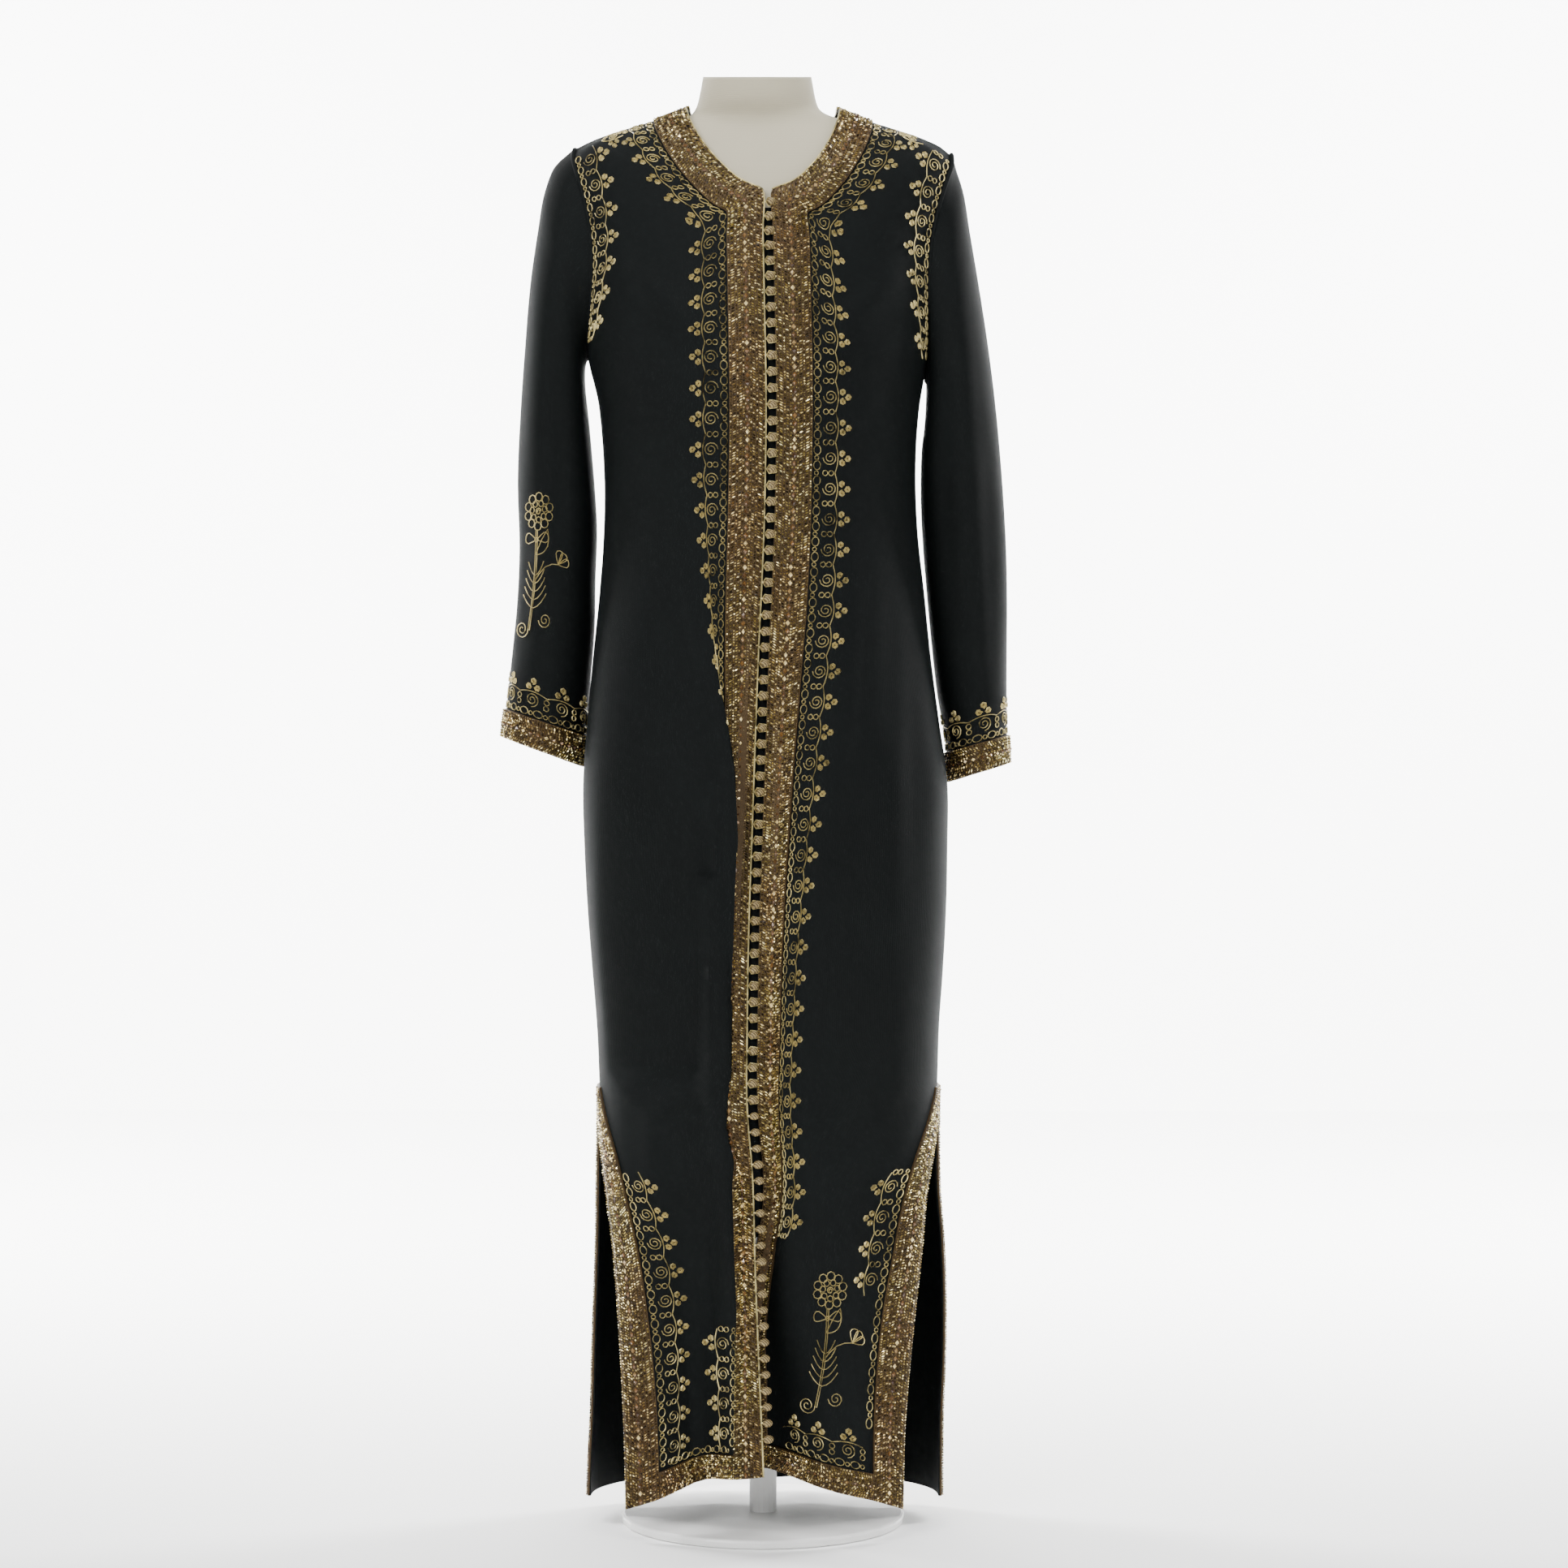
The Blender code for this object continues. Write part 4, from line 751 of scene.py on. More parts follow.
class Cloth:
    """A panel's fine grid, and which of its rows and columns are the pattern's own lines."""

    def __init__(self, name, coarse, ring=False):
        coarse = np.array([[tuple(p) for p in row] for row in coarse])
        self.name, self.ring = name, ring
        row_steps = steps_for(coarse)
        grid = smooth(coarse, row_steps)
        across = np.swapaxes(grid, 0, 1)
        closed = np.concatenate([across, across[:1]]) if ring else across
        column_steps = steps_for(closed)
        self.grid = np.swapaxes(smooth(across, column_steps, ring), 0, 1)
        self.rows = [0] + list(np.cumsum(row_steps))
        self.columns = [0] + list(np.cumsum(column_steps))
        self.find_normals()
        self.crease()
        self.rest = self.grid.copy()
        if name in OVERFOLDS:
            self.fold()
        self.find_normals()

    def find_normals(self):
        g = self.grid
        if self.ring:
            wide = np.roll(g, -1, axis=1) - np.roll(g, 1, axis=1)
        else:
            wide = np.gradient(g, axis=1)
        normal = np.cross(np.gradient(g, axis=0), wide)
        normal /= np.maximum(np.linalg.norm(normal, axis=-1, keepdims=True), 1e-12)
        if self.ring:
            out = g - g.mean(axis=1, keepdims=True)
        else:
            out = g * np.array([1.0, 1.0, 0.0])
            out[..., 2] = np.maximum(0.0, g[..., 2] - RIDGE_LOW) * SHOULDER_LEAN
        self.normals = normal * (1.0 if np.sum(normal * out) > 0 else -1.0)

    def crease(self):
        """Push the soft creases, away from the edges that carry braid and seams."""
        total = np.zeros(self.grid.shape[:2])
        x, z = self.grid[..., 0], self.grid[..., 2]
        for panel, x0, z0, x1, z1, wide, high in CREASES:
            if panel != self.name:
                continue
            dx, dz = x1 - x0, z1 - z0
            f = ((x - x0) * dx + (z - z0) * dz) / (dx * dx + dz * dz)
            off = ((x - x0) * dz - (z - z0) * dx) / math.hypot(dx, dz)
            fade = np.sin(np.clip(f, 0.0, 1.0) * math.pi) ** CREASE_FADE
            total += high * fade * np.exp(-(off / wide) ** 2)
        rows, columns = self.grid.shape[:2]
        i = np.minimum(np.arange(rows), np.arange(rows)[::-1])[:, None]
        j = np.minimum(np.arange(columns), np.arange(columns)[::-1])[None, :]
        keep = np.clip((i - CREASE_FREE) / CREASE_FREE, 0, 1) * np.ones((1, columns))
        if not self.ring:
            keep = keep * np.clip((j - self.columns[3]) / CREASE_EASE, 0, 1)
        self.grid = self.grid + self.normals * (total * keep)[..., None]

    def fold(self):
        """Fold the cloth over beside the front edge. Bands are still measured at rest."""
        rest, edge = self.rest, self.columns[3]
        steps = np.linalg.norm(np.diff(rest, axis=1), axis=-1)
        far = np.concatenate([np.zeros((len(rest), 1)), np.cumsum(steps, axis=1)], axis=1)
        table = dict(zip(OVERFOLD_COLUMNS, np.array(OVERFOLDS[self.name]).T))
        start, crest, end, over, out = (np.interp(rest[..., 2], table["z"], table[column])
                                        for column in OVERFOLD_COLUMNS[1:])
        toward = 1.0 if rest[0, 0, 0] > rest[0, -1, 0] else -1.0
        much = ease(far, start, crest) * (1.0 - ease(far, crest, end))
        x = rest[..., 0] + toward * over * much
        bulge = out * ease(far, start, crest) * (1.0 - ease(far, crest + BACK_OFF, end))
        y = rest[..., 1] - bulge
        if self.name == "right":
            # it lies over the braid: each row is lifted clear of the cloth that it covers
            for i in range(len(rest)):
                ahead = toward * (x[i] - rest[i, edge, 0])
                ground = np.interp(toward * x[i], toward * rest[i, ::-1, 0], rest[i, ::-1, 1])
                clear = (OVER_BRAID * ease(ahead, OVER_FROM, OVER_TO)
                         * ease(much[i] * over[i], 0.0, OVER_FULL))
                beyond = ease(far[i] - crest[i], -LOWER_EASE, LOWER_EASE)
                clear += LOWER_LAYER * beyond * (clear > LOWER_WHERE)
                y[i] = np.where(clear > 0.0, np.minimum(y[i], ground - clear), y[i])
        self.grid[..., 0], self.grid[..., 1] = x, y

    def build(self, finish):
        rows, columns = self.grid.shape[:2]
        wrap = columns if self.ring else columns - 1
        faces = [(r * columns + c, r * columns + (c + 1) % columns,
                  (r + 1) * columns + (c + 1) % columns, (r + 1) * columns + c)
                 for r in range(rows - 1) for c in range(wrap)]
        mesh = bpy.data.meshes.new("kaftan_" + self.name)
        mesh.from_pydata(self.grid.reshape(-1, 3).tolist(), [], faces)
        down = np.linalg.norm(np.diff(self.grid, axis=0), axis=-1).mean(axis=1)
        over = np.linalg.norm(np.diff(self.grid, axis=1), axis=-1).mean(axis=0)
        v = np.concatenate([[0], np.cumsum(down)])
        u = np.concatenate([[0], np.cumsum(over)])
        u = np.append(u, u[-1] + over.mean())
        layer = mesh.uv_layers.new(name="weave")
        for face, (r, c) in zip(mesh.polygons, ((r, c) for r in range(rows - 1)
                                                for c in range(wrap))):
            corners = ((r, c), (r, c + 1), (r + 1, c + 1), (r + 1, c))
            for loop, (a, b) in zip(face.loop_indices, corners):
                layer.data[loop].uv = (u[b], v[a])
        mid = mesh.polygons[len(mesh.polygons) // 2]
        if mid.normal.dot(Vector(self.normals.reshape(-1, 3)[mid.vertices[0]])) < 0:
            mesh.flip_normals()
        mesh.materials.append(finish.material)
        made = added("kaftan_" + self.name, mesh)
        with_modifier(made, "SOLIDIFY", thickness=WALL, offset=1.0)
        made.data.shade_smooth()
        made.data.set_sharp_from_angle(angle=math.radians(60))
        return made


KNIT = Finish("knit_black", Sheen_Weight=0.006, Sheen_Roughness=0.35,
              Sheen_Tint=(0.55, 0.72, 0.80, 1.0), Specular_IOR_Level=0.085)
WEAVE = KNIT.place("UV")
CLOUD = KNIT.noise(9.0, 3.0)
KNIT.paint("Base Color", KNIT.blend(CLOUD, (0.0026, 0.0034, 0.0034), (0.0052, 0.0066, 0.0066)))
KNIT.paint("Roughness", CLOUD * 0.16 + 0.66)
CREPE = KNIT.noise(900.0, 2.0, WEAVE)
RIBS = KNIT.node("ShaderNodeTexWave", {"bands_direction": "X"}, {
    "Vector": WEAVE, "Scale": 210.0, "Distortion": 2.0, "Detail": 1.0})
KNIT.relief(CREPE * 0.6 + RIBS * 0.4, 0.00035, 0.55)

PANELS = {
    "right": Cloth("right", front_grid("right")),
    "left": Cloth("left", front_grid("left")),
    "back": Cloth("back", back_grid()),
}
PIECES = {}
for NAME, PANEL in PANELS.items():
    PIECES[NAME] = PANEL.build(KNIT)
    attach(PIECES[NAME], "root")
    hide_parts("back" if NAME == "back" else "front_" + NAME)

# ---- the sleeves -------------------------------------------------------------------------
# Each is one panel of the same knit, seamed at the underarm, long and straight, a little
# wider at the cuff. It hangs empty from the armhole.
SLEEVE_COLUMNS = ("x_out", "z_out", "x_in", "z_in", "y", "half_depth")
SLEEVES = {
    "right": (
        (0.2130, 1.3880, 0.1850, 1.180, 0.002, 0.053),
        (0.2225, 1.3640, 0.1848, 1.165, 0.003, 0.056),
        (0.2295, 1.3250, 0.1825, 1.145, 0.004, 0.058),
        (0.2370, 1.2720, 0.1798, 1.120, 0.006, 0.059),
        (0.2430, 1.2050, 0.1772, 1.090, 0.008, 0.059),
        (0.2480, 1.1400, 0.1745, 1.055, 0.012, 0.058),
        (0.2515, 1.0700, 0.1728, 1.018, 0.017, 0.056),
        (0.2507, 1.0000, 0.1746, 0.970, 0.023, 0.054),
        (0.2537, 0.9400, 0.1760, 0.915, 0.029, 0.052),
        (0.2592, 0.8850, 0.1805, 0.862, 0.035, 0.050),
        (0.2650, 0.8330, 0.1850, 0.805, 0.040, 0.049),
        (0.2668, 0.8185, 0.1865, 0.789, 0.042, 0.049),
        (0.2687, 0.8040, 0.1880, 0.773, 0.043, 0.049),
    ),
    "left": (
        (0.1965, 1.3880, 0.1705, 1.158, 0.002, 0.053),
        (0.2040, 1.3640, 0.1690, 1.142, 0.003, 0.056),
        (0.2105, 1.3250, 0.1672, 1.122, 0.004, 0.058),
        (0.2195, 1.2720, 0.1645, 1.098, 0.006, 0.059),
        (0.2300, 1.2050, 0.1636, 1.070, 0.008, 0.059),
        (0.2383, 1.1400, 0.1640, 1.038, 0.012, 0.058),
        (0.2450, 1.0700, 0.1662, 1.000, 0.017, 0.056),
        (0.2495, 1.0000, 0.1705, 0.950, 0.023, 0.054),
        (0.2510, 0.9400, 0.1755, 0.900, 0.029, 0.052),
        (0.2510, 0.8850, 0.1815, 0.850, 0.036, 0.050),
        (0.2515, 0.8060, 0.1915, 0.788, 0.042, 0.048),
        (0.2520, 0.7915, 0.1922, 0.7725, 0.043, 0.048),
        (0.2525, 0.7770, 0.1930, 0.757, 0.044, 0.048),
    ),
}
ARMHOLE_BOW = 0.015
ARMHOLE_BOW_RINGS = 4       # rings over which the bow dies out
ARMHOLE_BOW_FADE = 1.5
SLEEVE_SET_LOW = 0.0024     # a sleeve stands off a little more at the underarm
SLEEVE_RISE_LOW = 0.0010    # and starts a little higher there


def sleeve_grid(side):
    sign = SIGN[side]
    rings = []
    first = []
    turns = sorted(FRONT_PHI) + [180.0] + [360.0 - phi for phi in BACK_PHI]
    for phi in turns:
        face = -1.0 if phi <= 180.0 else 1.0
        p = armhole_point(side, phi, face)
        low = max(0.0, -math.cos(math.radians(phi))) ** 3
        p.x += sign * (armhole(side)["set_off"] + SLEEVE_SET_LOW * low)
        p.z += SLEEVE_RISE_LOW * low
        first.append(p)
    rings.append(first)
    rows = SLEEVES[side]
    for index, values in enumerate(rows):
        row = dict(zip(SLEEVE_COLUMNS, values))
        out = Vector((sign * row["x_out"], row["y"], row["z_out"]))
        inn = Vector((sign * row["x_in"], row["y"], row["z_in"]))
        fade = max(0.0, 1.0 - (index + 1) / ARMHOLE_BOW_RINGS)
        bow = ARMHOLE_BOW * fade ** ARMHOLE_BOW_FADE
        ring = []
        for phi in turns:
            a = math.radians(phi)
            p = (out + inn) / 2 + (out - inn) / 2 * math.cos(a)
            p.y -= row["half_depth"] * math.sin(a)
            p.x -= sign * bow * math.sin(a) ** 2
            ring.append(p)
        rings.append(ring)
    return rings


for SIDE in ("right", "left"):
    NAME = "sleeve_" + SIDE
    PANELS[NAME] = Cloth(NAME, sleeve_grid(SIDE), ring=True)
    PIECES[NAME] = PANELS[NAME].build(KNIT)
    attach(PIECES[NAME], "root")
    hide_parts(NAME)

# ---- the beaded braid --------------------------------------------------------------------
# A woven metallic ground, sewn flat along every edge, with beads in lengthwise rows: small
# round ones on the rims, slanted bugles inside them and larger set stones down the middle.
BEAD_SEED = 4107
CORD_SEED = 9
CORD_PAINTED_GLINT_SPREAD = 0.26         # spread of the tones along a cord, as painted glints
BEAD_UNDERSIDE = 0.6        # a bead's depth under its girdle, as a share of its height
MEASURED_AT = 0.01          # a band without a width is measured this far from its line
LOOK_AHEAD = 0.002          # half the stretch from which a band's direction is taken


class Strip:
    """A band of cloth beside a line: lines run across it, each from the line outwards."""

    def __init__(self, cloth, paths, width=None, closed=False):
        normals, grid, rest = cloth.normals, cloth.grid, cloth.rest
        self.width, self.closed = width, closed
        paths = paths + paths[:1] if closed else paths
        self.lines = []
        for path in paths:
            points = np.array([grid[i, j] for i, j in path])
            lifts = np.array([normals[i, j] for i, j in path])
            flat = np.array([rest[i, j] for i, j in path])
            self.lines.append((along(flat), points, lifts))
        self.measure()

    def measure(self):
        place = self.width / 2 if self.width else MEASURED_AT
        self.marks = along(np.array([self.across(k, place)[0] for k in range(len(self.lines))]))
        self.length = float(self.marks[-1])

    def across(self, k, d):
        marks, points, lifts = self.lines[k]
        far = d * marks[-1] / self.width if self.width else d
        i = min(max(int(np.searchsorted(marks, far)) - 1, 0), len(marks) - 2)
        f = (far - marks[i]) / max(marks[i + 1] - marks[i], TINY)
        return (points[i] + (points[i + 1] - points[i]) * f,
                lifts[i] + (lifts[i + 1] - lifts[i]) * f)

    def at(self, s, d, lift=0.0):
        """Point and normal at distance s along the band and d across it."""
        s = s % self.length if self.closed else min(max(s, 0.0), self.length)
        k = min(max(int(np.searchsorted(self.marks, s)) - 1, 0), len(self.marks) - 2)
        f = (s - self.marks[k]) / max(self.marks[k + 1] - self.marks[k], TINY)
        (p, n), (q, m) = self.across(k, d), self.across(k + 1, d)
        normal = n + (m - n) * f
        normal = normal / max(np.linalg.norm(normal), TINY)
        return p + (q - p) * f + normal * (WALL + lift), normal

    def hand(self):
        """Positive where out, ahead and the normal make a right-handed set."""
        middle = self.length / 2
        here, normal = self.at(middle, 0.0)
        out = self.at(middle, LOOK_AHEAD)[0] - here
        ahead = self.at(middle + LOOK_AHEAD, 0.0)[0] - here
        return np.dot(np.cross(out, ahead), normal)


class Work:
    """Points and faces gathered for one piece, with a tone from 0 to 1 on each point."""

    def __init__(self):
        self.points, self.faces, self.tones, self.kinds = [], [], [], []
        self.chance = random.Random(CORD_SEED)

    def add(self, points, faces, tone, kind=0):
        base = len(self.points)
        self.points += [tuple(p) for p in points]
        self.faces += [tuple(base + i for i in face) for face in faces]
        self.tones += tone if isinstance(tone, list) else [tone] * len(points)
        self.kinds += [kind] * len(faces)

    def bead(self, centre, normal, ahead, long, wide, high, tone, kind):
        """A faceted bead with eight faces, its underside shallower than its top."""
        side = np.cross(normal, ahead)
        corners = [centre + ahead * long, centre + side * wide, centre - ahead * long,
                   centre - side * wide, centre + normal * high,
                   centre - normal * high * BEAD_UNDERSIDE]
        self.add(corners, [(0, 1, 4), (1, 2, 4), (2, 3, 4), (3, 0, 4),
                           (1, 0, 5), (2, 1, 5), (3, 2, 5), (0, 3, 5)], tone, kind)

    def tube(self, line, normals, radius, tone, kind=0, sides=3, closed=False):
        """A cord laid on the cloth along a line of points; its tone jumps at random from ring to ring
        along it, as painted glints.
        """
        line, normals = np.array(line), np.array(normals)
        if closed:
            ahead = np.roll(line, -1, axis=0) - np.roll(line, 1, axis=0)
        else:
            ahead = np.gradient(line, axis=0)
        ahead /= np.maximum(np.linalg.norm(ahead, axis=1, keepdims=True), TINY)
        side = np.cross(normals, ahead)
        points = []
        for k in range(len(line)):
            for s in range(sides):
                a = math.pi / 2 + 2 * math.pi * s / sides
                points.append(line[k] + (side[k] * math.cos(a) + normals[k] * math.sin(a)) * radius)
        rings = len(line) if closed else len(line) - 1
        faces = []
        for k in range(rings):
            for s in range(sides):
                t, n = (s + 1) % sides, (k + 1) % len(line)
                faces.append((k * sides + s, k * sides + t, n * sides + t, n * sides + s))
        if not closed:
            faces.append(tuple(reversed(range(sides))))
            faces.append(tuple(range((len(line) - 1) * sides, len(line) * sides)))
        # painted glints: each ring of the cord gets its own random tone
        tones = [min(1.0, max(0.0, self.chance.gauss(tone, CORD_PAINTED_GLINT_SPREAD))) for _ in line]
        self.add(points, faces, [t for t in tones for _ in range(sides)], kind)

    def finish(self, name, finishes, slot, smooth_under=80):
        """Make the piece; edges that turn by less than smooth_under degrees look round."""
        mesh = bpy.data.meshes.new(name)
        mesh.from_pydata(self.points, [], self.faces)
        shade = mesh.attributes.new("tone", "FLOAT", "POINT")
        shade.data.foreach_set("value", self.tones)
        for finish in finishes:
            mesh.materials.append(finish.material)
        mesh.polygons.foreach_set("material_index", self.kinds)
        mesh.shade_smooth()
        mesh.set_sharp_from_angle(angle=math.radians(smooth_under))
        made = added(name, mesh)
        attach(made, "root")
        return made


def tone_of(finish):
    return finish.node("ShaderNodeAttribute", {"attribute_name": "tone"}, out="Fac")


GROUND = Finish("braid_ground_bronze", Metallic=0.55)
THREAD = GROUND.noise(1100.0, 2.0)
GROUND.paint("Base Color", GROUND.blend(THREAD, (0.010, 0.006, 0.002), (0.105, 0.060, 0.018)))
GROUND.paint("Roughness", THREAD * 0.3 + 0.40)
GROUND.relief(THREAD, 0.0004, 0.8)
BEADS = Finish("glass_beads_gold", Metallic=0.78, Coat_Weight=0.3, Coat_Roughness=0.12)
OLD_GOLD = BEADS.node("ShaderNodeValToRGB", {"stops": (
    (0.00, (0.012, 0.008, 0.002)), (0.40, (0.120, 0.086, 0.018)), (0.75, (0.52, 0.40, 0.115)),
    (1.00, (1.00, 0.88, 0.45)))}, {0: tone_of(BEADS)})
COPPER = BEADS.node("ShaderNodeValToRGB", {"stops": (
    (0.00, (0.010, 0.004, 0.002)), (0.40, (0.080, 0.040, 0.011)), (0.75, (0.32, 0.19, 0.062)),
    (1.00, (0.96, 0.72, 0.33)))}, {0: tone_of(BEADS)})
PATCHES = BEADS.noise(15.0, 2.0)
BEADS.paint("Base Color", BEADS.blend(PATCHES * 3.2 - 1.25, OLD_GOLD, COPPER))
BEADS.paint("Roughness", BEADS.noise(260.0, 1.0) * 0.24 + 0.16)
STONES = Finish("set_stones_amber", Metallic=0.30, Coat_Weight=0.8, Coat_Roughness=0.06)
STONES.paint("Base Color", STONES.node("ShaderNodeValToRGB", {"stops": (
    (0.00, (0.040, 0.014, 0.004)), (0.60, (0.19, 0.090, 0.024)), (1.00, (0.78, 0.60, 0.27)))},
    {0: tone_of(STONES)}))
STONES.paint("Roughness", STONES.noise(180.0, 1.0) * 0.2 + 0.10)

# across the braid, as shares of its width: kind of row, place, half length, half width, pitch
BEAD_ROWS = (
    ("round", 0.045, 0.0011, 0.0011, 0.0027), ("bugle", 0.140, 0.0024, 0.0009, 0.0026),
    ("round", 0.235, 0.0012, 0.0012, 0.0028), ("bugle", 0.320, 0.0020, 0.0009, 0.0027),
    ("round", 0.400, 0.0012, 0.0012, 0.0029), ("stone", 0.500, 0.0027, 0.0023, 0.0079),
    ("round", 0.600, 0.0012, 0.0012, 0.0029), ("bugle", 0.680, 0.0020, 0.0009, 0.0027),
    ("round", 0.765, 0.0012, 0.0012, 0.0028), ("bugle", 0.860, 0.0024, 0.0009, 0.0026),
    ("round", 0.955, 0.0011, 0.0011, 0.0027),
)
# for each kind: how far its girdle stands off the braid, its height, and its finish's place
BEAD_SEATS = {"round": (0.0004, 0.0012, 1), "bugle": (0.0003, 0.0011, 1),
              "stone": (0.0006, 0.0019, 2)}
SPACER = 0.0011             # the round beads in pairs between the stones: half length,
SPACER_HIGH = 0.0010        # height,
SPACER_ASIDE = 0.0018       # and place beside the middle line
BRAID_HIGH = 0.0024
BRAID_CROWN = 1.12          # the braid's middle is higher than its rims by this factor
# the braid's section: share of its width, share of its height
BRAID_SECTION = ((0.0, 0.0002), (0.0, 0.75), (0.12, 1.0), (0.5, BRAID_CROWN), (0.88, 1.0),
                 (1.0, 0.75), (1.0, 0.0002))
BRAID_STEP = 0.006          # from section to section
GROUND_TONE = 0.3
NARROW_FIT = 1.12           # a narrow braid's beads are this much less narrow than it is
BUGLE_SLANT, BUGLE_JITTER = 0.55, 0.16      # radians
BEAD_TILT = 0.22
# the beads' tones: partly their own mixed colours, partly painted glints
BEAD_TONE, BEAD_SPREAD = 0.44, 0.24
PAINTED_GLINT_SHARE = 0.18         # this share of the beads is painted fully bright, as painted glints
SEED_STRIDE = 31


def askew(normal, side, ahead, chance):
    """A bead's own normal: a little tilted, so that only some beads catch the light."""
    tilted = normal + side * chance.gauss(0.0, BEAD_TILT) + ahead * chance.gauss(0.0, BEAD_TILT)
    return tilted / np.linalg.norm(tilted)


def braid(name, strip, node):
    """One length of beaded braid over the cloth, in place of its CAD node."""
    chance = random.Random(BEAD_SEED + len(name) * SEED_STRIDE + sum(map(ord, name)))
    work = Work()
    count = max(4, round(strip.length / BRAID_STEP))
    points = [strip.at(strip.length * k / count, share * strip.width, BRAID_HIGH * high)[0]
              for k in range(count + 1) for share, high in BRAID_SECTION]
    ring = len(BRAID_SECTION)
    faces = [(k * ring + c, k * ring + (c + 1) % ring,
              (k + 1) * ring + (c + 1) % ring, (k + 1) * ring + c)
             for k in range(count) for c in range(ring)]
    if not strip.closed:
        faces += [tuple(reversed(range(ring))), tuple(range(count * ring, (count + 1) * ring))]
    if strip.hand() < 0:
        faces = [face[::-1] for face in faces]
    work.add(points, faces, GROUND_TONE)
    narrow = min(1.0, strip.width / BRAID_WIDTH * NARROW_FIT)
    for kind, share, long, wide, pitch in BEAD_ROWS:
        across = share * strip.width
        slant = BUGLE_SLANT if share < 0.5 else -BUGLE_SLANT
        off, high, finish = BEAD_SEATS[kind]
        s = pitch * 0.5
        while s < strip.length - pitch * 0.3:
            centre, normal = strip.at(s, across, BRAID_HIGH * BRAID_CROWN)
            ahead = strip.at(s + LOOK_AHEAD, across)[0] - strip.at(s - LOOK_AHEAD, across)[0]
            ahead = ahead / max(np.linalg.norm(ahead), TINY)
            side = np.cross(normal, ahead)
            normal = askew(normal, side, ahead, chance)
            # a bead's tone: partly its own colour, partly painted glints; a share is painted fully
            # bright as glints
            tone = min(1.0, max(0.0, chance.gauss(BEAD_TONE, BEAD_SPREAD)))
            if chance.random() < PAINTED_GLINT_SHARE:
                tone = 1.0
            slope = slant + chance.uniform(-BUGLE_JITTER, BUGLE_JITTER)
            seat = centre + normal * off
            if kind == "bugle":
                lie = side * math.cos(slope) + ahead * math.sin(slope)
                work.bead(seat, normal, lie, long * narrow, wide, high, tone, finish)
            elif kind == "stone":
                work.bead(seat, normal, ahead, long * narrow, wide * narrow, high, tone, finish)
                for sway in (-1, 1):
                    place = centre + ahead * pitch / 2 + side * sway * SPACER_ASIDE * narrow
                    work.bead(place + normal * BEAD_SEATS["round"][0], normal, ahead, SPACER,
                              SPACER, SPACER_HIGH, chance.random(), BEAD_SEATS["round"][2])
            else:
                work.bead(seat, normal, ahead, long, wide, high, tone, finish)
            s += pitch
    made = work.finish(name, (GROUND, BEADS, STONES), "braid", smooth_under=25)
    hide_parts(node)


def row_paths(rows, first, last):
    """Lines that run across the columns, one for each row, from first to last column."""
    step = 1 if last >= first else -1
    return [[(i, j) for j in range(first, last + step, step)] for i in rows]


def column_paths(columns, first, last):
    step = 1 if last >= first else -1
    return [[(i, j) for i in range(first, last + step, step)] for j in columns]


def slit_rows(cloth, first=0):
    """The fine rows from one of the pattern's rows up to the slit's top."""
    return range(cloth.rows[first], cloth.rows[ROWS.index(SLIT_TOP)] + 1)


def between_braids(cloth):
    """The fine columns between the braids at both of a panel's edges."""
    return range(cloth.columns[3], cloth.columns[-4] + 1)


def round_paths(cuff, first, last):
    """Lines along a sleeve all round it, between two of the pattern's rings."""
    return column_paths(range(cuff.columns[-1]), cuff.rows[first], cuff.rows[last])


STRIPS = {}
for SIDE in ("right", "left"):
    PANEL, CUFF = PANELS[SIDE], PANELS["sleeve_" + SIDE]
    R, C = PANEL.rows, PANEL.columns
    STRIPS["front_" + SIDE] = Strip(PANEL, row_paths(range(R[-1] + 1), 0, C[3]), BRAID_WIDTH)
    STRIPS["hem_front_" + SIDE] = Strip(
        PANEL, column_paths(between_braids(PANEL), 0, R[HEM_ROWS - 1]), HEM_BRAID)
    STRIPS["slit_front_" + SIDE] = Strip(PANEL, row_paths(slit_rows(PANEL), C[-1], C[-4]),
                                         BRAID_WIDTH)
    STRIPS["cuff_" + SIDE] = Strip(CUFF, round_paths(CUFF, -1, -3), CUFF_BRAID, closed=True)
BACK = PANELS["back"]
R, C = BACK.rows, BACK.columns
STRIPS["hem_back"] = Strip(BACK, column_paths(between_braids(BACK), 0, R[HEM_ROWS - 1]),
                           HEM_BRAID)
STRIPS["slit_back_right"] = Strip(BACK, row_paths(slit_rows(BACK), 0, C[3]), BRAID_WIDTH)
STRIPS["slit_back_left"] = Strip(BACK, row_paths(slit_rows(BACK), C[-1], C[-4]), BRAID_WIDTH)
BACK_NECK = range(C[4], C[-5] + 1)
STRIPS["neck_back"] = Strip(BACK, column_paths(BACK_NECK, R[-1], R[-3]), BRAID_WIDTH)
for NAME, STRIP in STRIPS.items():
    braid("beaded_braid_" + NAME, STRIP, "braid_" + NAME)

# ---- the couched scroll border -----------------------------------------------------------
# Pale gold cord, 1.2 mm, laid on the cloth and stitched down beside the braids and seams:
# a row of small rings, then spirals joined by double loops, with three-petal tips outwards.
CORD_RADIUS = 0.00062
COUCHED = CORD_RADIUS * 0.8     # the cord's middle lies this far off the cloth
TIP_CORD_RADIUS = 0.00095   # the tips are filled with a thicker cord
SCROLL_PITCH = 0.0305
RING_PLACE = 0.0052         # from the braid's inner edge
RING_SIDES = 10

CORD = Finish("couched_cord_gold", Metallic=0.62, Coat_Weight=0.15)
CORD_TWIST = CORD.noise(900.0, 1.0)
CORD.paint("Base Color", CORD.blend(tone_of(CORD), (0.036, 0.027, 0.008), (0.56, 0.46, 0.20)))
CORD.paint("Roughness", CORD_TWIST * 0.24 + 0.30)
CORD.relief(CORD_TWIST, 0.0003, 0.6)


